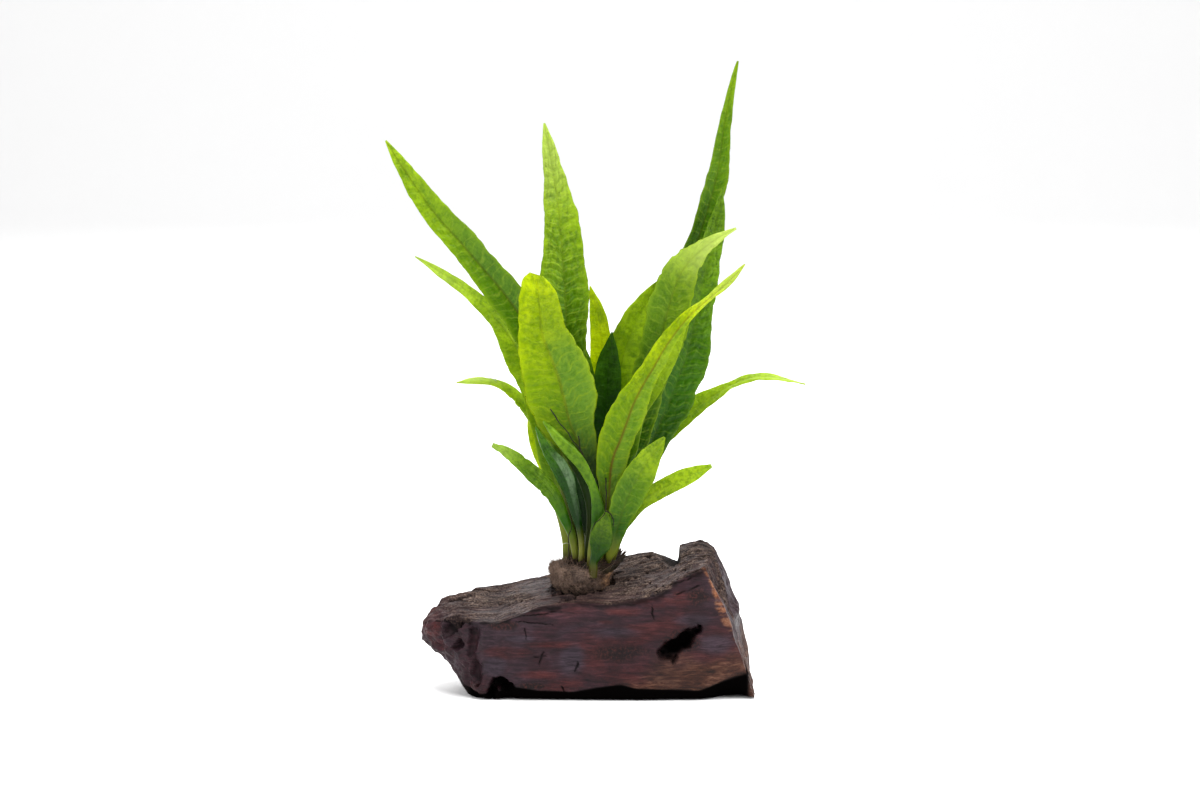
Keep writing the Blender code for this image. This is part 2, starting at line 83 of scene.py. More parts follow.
def catmull_rom(rows: np.ndarray, steps: int) -> np.ndarray:
    """Draw the smooth curve through rows of numbers.

    Each stretch is the cubic whose slope at a row is half the way from the
    row before to the row after.

    Args:
        rows: the numbers to pass through, one row a station.
        steps: points in each stretch.

    Returns:
        The points of the curve, with the last row at its end.
    """
    rows = np.asarray(rows, float)
    padded = np.vstack([2 * rows[0] - rows[1], rows, 2 * rows[-1] - rows[-2]])
    t = np.linspace(0.0, 1.0, steps, endpoint=False)[None, :, None]
    a, b, c, d = (padded[start:len(padded) - 3 + start, None, :] for start in range(4))
    curve = 0.5 * (2 * b + (c - a) * t + (2 * a - 5 * b + 4 * c - d) * t ** 2
                   + (3 * b - a - 3 * c + d) * t ** 3)
    return np.vstack([curve.reshape(-1, rows.shape[1]), rows[-1:]])


def route_length(curve: np.ndarray) -> float:
    """Add up the lengths of a curve's steps."""
    return float(np.linalg.norm(np.diff(curve[:, :3], axis=0), axis=1).sum())


def evenly_along(curve: np.ndarray, count: int) -> np.ndarray:
    """Read a curve at points that lie the same length apart.

    Args:
        curve: rows that start with x, y and z.
        count: how many points to read.

    Returns:
        The rows at those points.
    """
    steps = np.linalg.norm(np.diff(curve[:, :3], axis=0), axis=1)
    travelled = np.concatenate([[0.0], np.cumsum(steps)])
    wanted = np.linspace(0.0, travelled[-1], count)
    return np.stack([np.interp(wanted, travelled, column) for column in curve.T], axis=1)


class Noise:
    """Smooth random values in space, between about -1 and 1."""

    def __init__(self, seed: int) -> None:
        """Shuffle the lattice's directions with the seed.

        Args:
            seed: number of the shuffle.
        """
        draw = np.random.default_rng(seed)
        self.order = np.tile(draw.permutation(256), 3)
        self.ways = unit(draw.normal(size=(256, 3)))

    def at(self, points: np.ndarray) -> np.ndarray:
        """Blend the slopes at the eight lattice corners round each point.

        Args:
            points: places, in lattice steps, with x, y and z in the last axis.

        Returns:
            One value for each place.
        """
        cell = np.floor(points).astype(int)
        local = points - cell
        weight = local ** 3 * (local * (local * 6.0 - 15.0) + 10.0)
        cell &= 255
        total = np.zeros(points.shape[:-1])
        for corner in np.ndindex(2, 2, 2):
            i, j, k = (cell[..., axis] + corner[axis] for axis in range(3))
            way = self.ways[self.order[self.order[self.order[i & 255] + (j & 255)]
                                       + (k & 255)]]
            share = np.prod(np.where(corner, weight, 1.0 - weight), axis=-1)
            total += share * (way * (local - corner)).sum(axis=-1)
        return 1.6 * total

    def layers(self, points: np.ndarray, count: int = 4) -> np.ndarray:
        """Add count layers, each half as large and half as strong as the last."""
        return sum(self.at(points * 2.0 ** layer + 17.3 * layer) / 2.0 ** layer
                   for layer in range(count))


@dataclass
class Surface:
    """Points and faces of one closed piece, in millimetres."""

    points: np.ndarray
    faces: list[np.ndarray]
    marks: Marks = field(default_factory=dict)

    def volume(self) -> float:
        """Add up the volumes between the origin and each face.

        Returns:
            The signed volume, which is negative for inward faces.
        """
        total = 0.0
        for faces in self.faces:
            for turn in range(1, faces.shape[1] - 1):
                a, b, c = (self.points[faces[:, side]] for side in (0, turn, turn + 1))
                total += float((a * np.cross(b, c)).sum()) / 6.0
        return total

    def to_object(self, name: str, smooth: bool = True) -> bpy.types.Object:
        """Write the surface as a mesh object at the origin, with faces outward.

        Args:
            name: the piece's name.
            smooth: whether its faces are shaded smooth.

        Returns:
            The new object, linked to the scene.
        """
        if self.volume() < 0.0:
            self.faces = [faces[:, ::-1] for faces in self.faces]
        mesh = bpy.data.meshes.new(name)
        corners = np.concatenate([faces.ravel() for faces in self.faces])
        sizes = np.concatenate([np.full(len(faces), faces.shape[1]) for faces in self.faces])
        starts = np.concatenate([[0], np.cumsum(sizes)[:-1]])
        mesh.vertices.add(len(self.points))
        mesh.vertices.foreach_set("co", (self.points * MM).astype(np.float32).ravel())
        mesh.loops.add(len(corners))
        mesh.loops.foreach_set("vertex_index", corners.astype(np.int32))
        mesh.polygons.add(len(sizes))
        mesh.polygons.foreach_set("loop_start", starts.astype(np.int32))
        mesh.polygons.foreach_set("use_smooth", np.full(len(sizes), smooth))
        mesh.update(calc_edges=True)
        for mark, values in self.marks.items():
            layer = mesh.attributes.new(mark, "FLOAT", "POINT")
            layer.data.foreach_set("value", values.astype(np.float32).ravel())
        mesh.validate()
        piece = bpy.data.objects.new(name, mesh)
        bpy.context.scene.collection.objects.link(piece)
        return piece


def tube_faces(rows: int, sides: int) -> list[np.ndarray]:
    """List the faces of a closed tube whose two end points follow its rings.

    Args:
        rows: rings along the tube.
        sides: points in a ring.

    Returns:
        The quads between rings, and the triangles of the two ends.
    """
    row, side = np.meshgrid(np.arange(rows - 1), np.arange(sides), indexing="ij")
    near, far = row * sides + side, row * sides + (side + 1) % sides
    quads = np.stack([near, far, far + sides, near + sides], axis=-1).reshape(-1, 4)
    ring = np.arange(sides)
    ahead = (ring + 1) % sides
    start, end = rows * sides, rows * sides + 1
    last = (rows - 1) * sides
    foot = np.stack([ahead, ring, np.full(sides, start)], axis=1)
    tip = np.stack([last + ring, last + ahead, np.full(sides, end)], axis=1)
    return [quads, np.vstack([foot, tip])]


def closed_tube(rings: np.ndarray, marks: Marks | None = None) -> Surface:
    """Skin rings of points and close both ends at their middles.

    Args:
        rings: points, as rows by sides by three.
        marks: values for each ring point, carried to the mesh.

    Returns:
        The closed surface.
    """
    def with_ends(values: np.ndarray) -> np.ndarray:
        """Add two end points, each the mean of its ring."""
        return np.vstack([values.reshape(-1, values.shape[-1]), values[0].mean(axis=0),
                          values[-1].mean(axis=0)])

    named = {mark: with_ends(values[..., None])[:, 0] for mark, values in (marks or {}).items()}
    return Surface(with_ends(rings), tube_faces(*rings.shape[:2]), named)


def many_tubes(paths: np.ndarray, radii: np.ndarray, sides: int) -> Surface:
    """Skin many thin tubes of the same make at once.

    A ring stands across each path point, on two directions at right angles
    to the path; the ring's radius is the point's own.

    Args:
        paths: tubes by points by three.
        radii: tubes by points.
        sides: points in a ring.

    Returns:
        One surface with every tube in it.
    """
    count, rows = paths.shape[:2]
    tangent = unit(np.gradient(paths, axis=1))
    helper = np.where(np.abs(tangent[..., 2:3]) > 0.9, (1.0, 0.0, 0.0), (0.0, 0.0, 1.0))
    across = unit(np.cross(tangent, helper))
    above = np.cross(across, tangent)
    turn = np.arange(sides) * 2 * math.pi / sides
    rings = (paths[:, :, None] + radii[..., None, None]
             * (np.cos(turn)[:, None] * across[:, :, None]
                + np.sin(turn)[:, None] * above[:, :, None]))
    size = rows * sides + 2
    points = np.concatenate([rings.reshape(count, -1, 3), paths[:, :1], paths[:, -1:]],
                            axis=1).reshape(-1, 3)
    shift = (np.arange(count) * size)[:, None, None]
    faces = [(one[None] + shift).reshape(-1, one.shape[1])
             for one in tube_faces(rows, sides)]
    return Surface(points, faces)


# --- finishes -------------------------------------------------------------------


def tint(code: str) -> tuple[float, float, float, float]:
    """Turn a written colour into the linear values a shader takes.

    Args:
        code: the colour, as #rrggbb.

    Returns:
        Red, green, blue and an alpha of one.
    """
    shares = [int(code[start:start + 2], 16) / 255.0 for start in (1, 3, 5)]
    linear = [share / 12.92 if share <= 0.04045 else ((share + 0.055) / 1.055) ** 2.4
              for share in shares]
    return (*linear, 1.0)


class Finish:
    """A material's node tree, with short ways to add its nodes.

    Wherever a value goes into a node it may be another node's output, a plain
    value, or a colour written as #rrggbb.
    """

    def __init__(self, name: str) -> None:
        """Make an empty material.

        Args:
            name: the material's name.
        """
        self.material = bpy.data.materials.new(name)
        self.material.use_nodes = True
        self.tree = self.material.node_tree
        self.tree.nodes.clear()
        self.place = self.node("TexCoord").outputs["Object"]

    def node(self, kind: str, inputs: dict[str | int, object] | None = None,
             **settings: str) -> bpy.types.Node:
        """Add a node.

        Args:
            kind: its type, without the ShaderNode that every type starts with.
            inputs: what goes into its sockets.
            **settings: its choices, such as the operation of a Math node.

        Returns:
            The node.
        """
        added = self.tree.nodes.new(f"ShaderNode{kind}")
        for name, choice in settings.items():
            setattr(added, name, choice)
        for name, value in (inputs or {}).items():
            if isinstance(value, bpy.types.NodeSocket):
                self.tree.links.new(value, added.inputs[name])
            else:
                plain = tint(value) if isinstance(value, str) else value
                added.inputs[name].default_value = plain
        return added

    def mark(self, name: str) -> Socket:
        """Read one of the mesh's own values."""
        return self.node("Attribute", attribute_name=name).outputs["Fac"]

    def stretched(self, scale: Point) -> Socket:
        """Scale the object's coordinates, differently along each axis."""
        return self.node("Mapping", {"Vector": self.place, "Scale": scale}).outputs["Vector"]

    def noise(self, scale: float, detail: float = 4.0, rough: float = 0.55,
              vector: Socket | None = None, twist: float = 0.0) -> Socket:
        """Add a noise texture.

        Args:
            scale: waves in a metre, or in a unit of the vector.
            detail: finer layers.
            rough: strength of the finer layers.
            vector: coordinates, if not the object's own.
            twist: how much the pattern is dragged about.

        Returns:
            The noise, about 0.5 on the whole.
        """
        return self.node("TexNoise", {
            "Vector": vector or self.place, "Scale": scale, "Detail": detail,
            "Roughness": rough, "Distortion": twist}).outputs["Fac"]

    def spots(self, scale: float) -> Socket:
        """Add the distance from scattered points, scale of them to a metre."""
        return self.node("TexVoronoi", {"Vector": self.place,
                                        "Scale": scale}).outputs["Distance"]

    def sums(self, kind: str, first: object, second: object = 0.0,
             third: float = 0.0) -> Socket:
        """Add a Math node of the given kind."""
        return self.node("Math", {0: first, 1: second, 2: third}, operation=kind).outputs[0]

    def times(self, first: object, second: object) -> Socket:
        """Multiply two values."""
        return self.sums("MULTIPLY", first, second)

    def span(self, value: object, low: float, high: float,
             start: float = 0.0, end: float = 1.0) -> Socket:
        """Map low to start and high to end, smoothly and no further.

        Args:
            value: what is mapped.
            low: the value that gives start.
            high: the value that gives end.
            start: the result up to low.
            end: the result from high on.

        Returns:
            The mapped value.
        """
        return self.node("MapRange", {
            "Value": value, "From Min": low, "From Max": high, "To Min": start,
            "To Max": end}, interpolation_type="SMOOTHSTEP").outputs["Result"]

    def ridge(self, value: object, low: float) -> Socket:
        """Rise to 1 wherever a value is whole, from 0 at low of the way there.

        Args:
            value: a running number.
            low: share of the way, from half to whole, where the rise starts.

        Returns:
            The ridge, from 0 to 1.
        """
        part = self.sums("FRACT", value)
        fold = self.sums("ABSOLUTE", self.sums("MULTIPLY_ADD", part, 2.0, -1.0))
        return self.span(fold, low, 1.0)

    def net(self, along: object, across: object, low: float) -> Socket:
        """Draw a net whose cells are one wide both ways, every other row shifted by half.

        Args:
            along: running number of the rows.
            across: running number of the cells in a row.
            low: where a line starts, as a share of the way from a cell's middle.

        Returns:
            The net, 1 on a line and 0 in a cell.
        """
        odd = self.sums("FLOORED_MODULO", self.sums("FLOOR", along), 2.0)
        rungs = self.ridge(self.sums("ADD", across, self.times(odd, 0.5)), low)
        return self.sums("MAXIMUM", self.ridge(along, low), self.times(rungs, 0.45))

    def ramp(self, value: object, *stops: tuple[float, str]) -> Socket:
        """Turn a value into a colour that runs through the stops.

        Args:
            value: what is coloured.
            *stops: values, each with its colour, from the lowest up.

        Returns:
            The colour.
        """
        node = self.node("ValToRGB", {"Fac": value})
        elements = node.color_ramp.elements
        while len(elements) < len(stops):
            elements.new(0.5)
        for element, (stop, code) in zip(elements, stops):
            element.position = stop
            element.color = tint(code)
        return node.outputs["Color"]

    def blend(self, share: object, first: object, second: object) -> Socket:
        """Mix two colours, which are a Mix node's sockets 6 and 7."""
        return self.node("Mix", {0: share, 6: first, 7: second}, data_type="RGBA").outputs[2]

    def bump(self, height: Socket, depth: float, strength: float) -> Socket:
        """Turn a height into a bumped normal; depth is in metres."""
        return self.node("Bump", {"Strength": strength, "Distance": depth,
                                  "Height": height}).outputs["Normal"]

    def solid(self, color: object, roughness: object, specular: float = 0.5,
              normal: Socket | None = None) -> Socket:
        """Add the Principled shader.

        Args:
            color: base colour.
            roughness: roughness.
            specular: strength of the clear reflection.
            normal: a bumped normal, if any.

        Returns:
            The shader.
        """
        inputs = {"Base Color": color, "Roughness": roughness,
                  "Specular IOR Level": specular}
        if normal is not None:
            inputs["Normal"] = normal
        return self.node("BsdfPrincipled", inputs).outputs[0]

    def mix(self, share: object, first: Socket, second: Socket) -> Socket:
        """Mix two shaders."""
        return self.node("MixShader", {0: share, 1: first, 2: second}).outputs[0]

    def close(self, shader: Socket) -> bpy.types.Material:
        """Send a shader to the output and return the material."""
        self.node("OutputMaterial", {"Surface": shader})
        return self.material


@dataclass(frozen=True)
class FrondFinish:
    """The colours of one age of frond, lit from the front and from behind."""

    slot: str
    foot: str
    middle: str
    tip: str
    cloudy: str
    # Colour of the painted sheen on one half of a blade; darker on mid-green blades.
    sheen: str
    vein: str
    rib: str
    glow_foot: str
    glow_tip: str
    through: float
    roughness: float

    @staticmethod
    def specks(kit: Finish) -> Socket:
        """Scatter a few small brown dots, thick in some places and none in others.

        Args:
            kit: the material.

        Returns:
            The dots, from 0 to 0.6.
        """
        dots = kit.span(kit.spots(150.0), 0.05, 0.10, 1.0, 0.0)
        rare = kit.span(kit.noise(30.0, 1.0), 0.60, 0.68)
        return kit.times(kit.times(dots, rare), 0.6)

    @staticmethod
    def veins(kit: Finish) -> tuple[Socket, Socket]:
        """Draw the side veins with their rungs, and a net three times as fine.

        Args:
            kit: the material.

        Returns:
            The veins, and the fine net, each from 0 to 1.
        """
        drift = kit.times(kit.noise(230.0, 4.0, 0.65), 0.9)
        along = kit.sums("ADD", kit.mark("lateral"), drift)
        across = kit.sums("ADD", kit.mark("column"), drift)
        shown = kit.times(kit.mark("veined"),
                          kit.span(kit.noise(330.0, 3.0, 0.6), 0.36, 0.56, 0.45, 1.0))
        fine = kit.net(kit.times(along, 3.0), kit.times(across, 2.4), 0.62)
        return kit.times(kit.net(along, across, 0.66), shown), kit.times(fine, shown)

    def skin(self, kit: Finish, cloud: Socket, vein: Socket, net: Socket) -> Socket:
        """Colour the upper skin.

        Args:
            kit: the material.
            cloud: broad noise that mottles the blade.
            vein: the side veins.
            net: the finest veins.

        Returns:
            The colour.
        """
        grain = kit.noise(620.0, 4.0, 0.75)
        base = kit.ramp(kit.mark("reach"), (0.34, self.foot), (0.62, self.middle),
                        (0.94, self.tip))
        base = kit.blend(kit.span(cloud, 0.44, 0.58, 0.0, 0.4), base, self.cloudy)
        # Painted sheen on one half of the blade, as the light would catch it.
        base = kit.blend(kit.times(kit.mark("sheen"), 0.8), base, self.sheen)
        base = kit.blend(kit.span(grain, 0.47, 0.58, 0.0, 0.5), base, self.foot)
        # The shade mark below is painted shade, dark low in the clump.
        for share, strength, color in (
                (net, 0.35, self.vein), (vein, 0.62, self.vein),
                (kit.mark("bleach"), 0.8, "#c8dc6a"), (kit.mark("stalk"), 0.7, "#8a8c34"),
                (kit.mark("margin"), 0.45, self.tip), (kit.mark("rib"), 0.7, self.rib),
                (self.specks(kit), 1.0, "#4a3008"), (kit.mark("shade"), 0.85, "#0b2402"),
                (kit.mark("foot"), 0.7, "#3c3210")):
            base = kit.blend(kit.times(share, strength), base, color)
        return base

    def glow(self, kit: Finish, cloud: Socket) -> Socket:
        """Colour the light that comes through the blade from its far side.

        Args:
            kit: the material.
            cloud: broad noise that mottles the blade.

        Returns:
            The colour.
        """
        glow = kit.ramp(kit.mark("reach"), (0.20, self.glow_foot), (0.72, self.glow_tip))
        glow = kit.blend(kit.span(cloud, 0.44, 0.60, 0.0, 0.4), glow, self.glow_foot)
        # Painted sheen and painted shade also tint the light that comes through.
        for name, strength, color in (("sheen", 0.5, self.sheen), ("rib", 0.85, self.rib),
                                      ("shade", 0.9, "#061202"), ("foot", 1.0, "#1c1406")):
            glow = kit.blend(kit.times(kit.mark(name), strength), glow, color)
        return glow

    def make(self) -> bpy.types.Material:
        """Build the waxy, see-through green of a blade.

        The colour runs from foot to tip and is mottled.  The veins and the
        finest net between them are picked out, a painted sheen lies on one
        half of some blades, and the midrib turns red-brown.  Deep in the clump
        shade is painted into the colour.  Light that falls on the far side
        comes through yellower.

        Returns:
            The material.
        """
        kit = Finish(self.slot)
        cloud = kit.noise(70.0, 6.0, 0.68)
        vein, net = self.veins(kit)
        lines = kit.sums("ADD", vein, kit.times(net, 0.4))
        fine = kit.times(kit.noise(650.0, 3.0, 0.6), 0.8)
        normal = kit.bump(kit.sums("SUBTRACT", fine, lines), 0.00025, 0.75)
        gloss = kit.span(cloud, 0.3, 0.7, self.roughness + 0.10, self.roughness - 0.06)
        skin = kit.solid(self.skin(kit, cloud, vein, net), gloss, 0.15, normal)
        behind = kit.node("BsdfTranslucent", {"Color": self.glow(kit, cloud),
                                              "Normal": normal}).outputs[0]
        return kit.close(kit.mix(self.through, skin, behind))


class Age(Enum):
    """The ages of frond on the plant, each with its finish."""

    YELLOW = FrondFinish(
        "frond_yellow_green", foot="#2f6600", middle="#7f9e00", tip="#bcd000",
        cloudy="#568400", sheen="#65902a", vein="#a9c020", rib="#74490c",
        glow_foot="#5a8a00", glow_tip="#d6e000", through=0.40, roughness=0.34)
    BRIGHT = FrondFinish(
        "frond_bright_green", foot="#245600", middle="#587e00", tip="#a0bc1a",
        cloudy="#396800", sheen="#4a7420", vein="#a4bc38", rib="#4f4610",
        glow_foot="#3f7a00", glow_tip="#b0cc00", through=0.36, roughness=0.32)
    GREEN = FrondFinish(
        "frond_mid_green", foot="#123f00", middle="#346402", tip="#74981a",
        cloudy="#205000", sheen="#24540a", vein="#7ea02c", rib="#3f3f10",
        glow_foot="#2a6c00", glow_tip="#88b800", through=0.32, roughness=0.30)
    DARK = FrondFinish(
        "frond_dark_green", foot="#082a00", middle="#184402", tip="#46740c",
        cloudy="#0f3800", sheen="#829c76", vein="#3c7018", rib="#26320a",
        glow_foot="#185800", glow_tip="#569600", through=0.24, roughness=0.26)


@dataclass(frozen=True)
class WoodFinish:
    """Damp, dark driftwood that has weathered grey-brown on top."""

    slot: str = "wood"

    @staticmethod
    def front(kit: Finish, grain: Socket, cloud: Socket) -> Socket:
        """Colour the damp faces: plum brown, red streaks, rough red patches, painted sheen.

        Args:
            kit: the material.
            grain: noise drawn out along the wood.
            cloud: broad noise.

        Returns:
            The colour.
        """
        streak = kit.noise(1.0, 5.0, 0.55, kit.stretched((20.0, 44.0, 44.0)), 1.6)
        flesh = kit.ramp(grain, (0.32, "#0f0709"), (0.43, "#211217"), (0.56, "#2d181e"),
                         (0.70, "#40262c"))
        red = kit.ramp(grain, (0.32, "#250b0a"), (0.50, "#411817"), (0.70, "#5c2c28"))
        plum = kit.ramp(grain, (0.36, "#191219"), (0.66, "#40353f"))
        brown = kit.ramp(grain, (0.32, "#150a07"), (0.5, "#402519"), (0.72, "#755240"))
        pits = kit.span(kit.noise(1150.0, 4.0, 0.75), 0.42, 0.52)
        cool = kit.times(kit.span(streak, 0.48, 0.34), 0.4)
        for share, color in (
                (kit.span(streak, 0.48, 0.64, 0.0, 0.55), red),
                (kit.times(kit.mark("red"), 0.8), red),
                # Painted sheen: the listed patches stand in for light caught by the damp face.
                (kit.sums("MAXIMUM", kit.mark("damp_sheen"), cool), plum),
                (kit.mark("ochre"), brown),
                (kit.mark("rash"), kit.blend(pits, "#3a1b17", "#0b0303")),
                (kit.span(cloud, 0.50, 0.68, 0.0, 0.5), "#150c10")):
            flesh = kit.blend(share, flesh, color)
        return flesh

    @staticmethod
    def top(kit: Finish, mixed: Socket, cloud: Socket) -> Socket:
        """Colour the weathered top: grey-brown, speckled and cracked.

        Args:
            kit: the material.
            mixed: grain and speckle, half each.
            cloud: broad noise.

        Returns:
            The colour.
        """
        return kit.blend(
            kit.span(cloud, 0.42, 0.60, 0.0, 0.75),
            kit.ramp(mixed, (0.41, "#080504"), (0.47, "#281c19"), (0.53, "#4c3d36"),
                     (0.61, "#857265")),
            kit.ramp(mixed, (0.43, "#070404"), (0.60, "#3a2a25")))

    def make(self) -> bpy.types.Material:
        """Build the grain, streaks, weathering, pale rim and painted shade in hollows.

        The grain is noise drawn out along X.  The mesh says how weathered,
        how brown and how near the end rim each point is, and how much shade is
        painted in its hollows.  The rim's pale tan is partly heartwood and partly
        a painted highlight.

        Returns:
            The material.
        """
        kit = Finish(self.slot)
        grain = kit.noise(1.0, 9.0, 0.72, kit.stretched((110.0, 760.0, 760.0)), 0.7)
        cloud = kit.noise(48.0, 5.0, 0.6)
        mixed = kit.times(kit.sums("ADD", grain, kit.noise(1500.0, 4.0, 0.75)), 0.5)
        weathered, shaded_hollow = kit.mark("weathered"), kit.mark("shaded_hollow")
        # Pale end rim: partly bare heartwood, partly a painted highlight on the edge.
        bare_and_sheen = kit.ramp(mixed, (0.38, "#4a2418"), (0.52, "#8f5c3e"), (0.66, "#c9a283"))
        color = kit.blend(weathered, self.front(kit, grain, cloud),
                          self.top(kit, mixed, cloud))
        color = kit.blend(kit.mark("rim"), color, bare_and_sheen)
        # Painted shade: hollows, cracks and the underside are painted near black.
        color = kit.blend(shaded_hollow, color, "#050404")
        damp_sheen = kit.span(cloud, 0.3, 0.7, 0.30, 0.52)
        gloss = kit.node("Mix", {0: weathered, 2: damp_sheen, 3: 0.9}).outputs[0]
        skin = kit.solid(color, gloss, 0.14, kit.bump(mixed, 0.0007, 0.9))
        # Painted shade: a black surface without reflection fills the hollows.
        return kit.close(kit.mix(shaded_hollow, skin, kit.solid("#040303", 1.0, 0.0)))


@dataclass(frozen=True)
class FibreFinish:
    """Brown plant fibre: the root mat, its roots, the rootlets and scales."""

    slot: str
    dark: str
    light: str
    roughness: float = 0.85

    def mottle(self, kit: Finish) -> Socket:
        """Mix the dark and the light brown in patches and fine grains.

        Args:
            kit: the material.

        Returns:
            The colour.
        """
        patch = kit.sums("ADD", kit.times(kit.noise(260.0, 5.0, 0.65), 0.6),
                         kit.times(kit.noise(1700.0, 3.0, 0.7), 0.4))
        return kit.ramp(patch, (0.36, self.dark), (0.64, self.light))

    def make(self, name: str) -> bpy.types.Material:
        """Build a mottled brown.

        Args:
            name: the material's name, which keeps one fibre apart from another.

        Returns:
            The material.
        """
        kit = Finish(name)
        normal = kit.bump(kit.noise(1900.0, 2.0), 0.0004, 0.7)
        return kit.close(kit.solid(self.mottle(kit), self.roughness, 0.2, normal))

    def make_felt(self, name: str) -> bpy.types.Material:
        """Build the mat's brown, tan where the mesh says so, and painted shade in its pits.

        Args:
            name: the material's name.

        Returns:
            The material.
        """
        kit = Finish(name)
        tan = kit.ramp(kit.noise(900.0, 3.0, 0.7), (0.38, "#4a3022"), (0.62, "#b08660"))
        color = kit.blend(kit.times(kit.mark("tan"), 0.8), self.mottle(kit), tan)
        # Painted shade: near black in the pits and low spots.
        color = kit.blend(kit.mark("pit_shade"), color, "#060404")
        normal = kit.bump(kit.noise(1500.0, 4.0, 0.7), 0.0006, 0.9)
        return kit.close(kit.solid(color, self.roughness, 0.15, normal))


def settle(piece: bpy.types.Object, material: bpy.types.Material, slot: str,
           *nodes: str) -> None:
    """Give a piece its finish and its place in the frame.

    Args:
        piece: the finished mesh.
        material: its finish.
        slot: not used.
        *nodes: the plain solids that it stands in for.
    """
    piece.data.materials.append(material)
    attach(piece, ROOT_BODY)
    for node in nodes:
        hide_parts(node)
    LOG.info("made %s, %d faces", piece.name, len(piece.data.polygons))


# --- fronds -----------------------------------------------------------------------


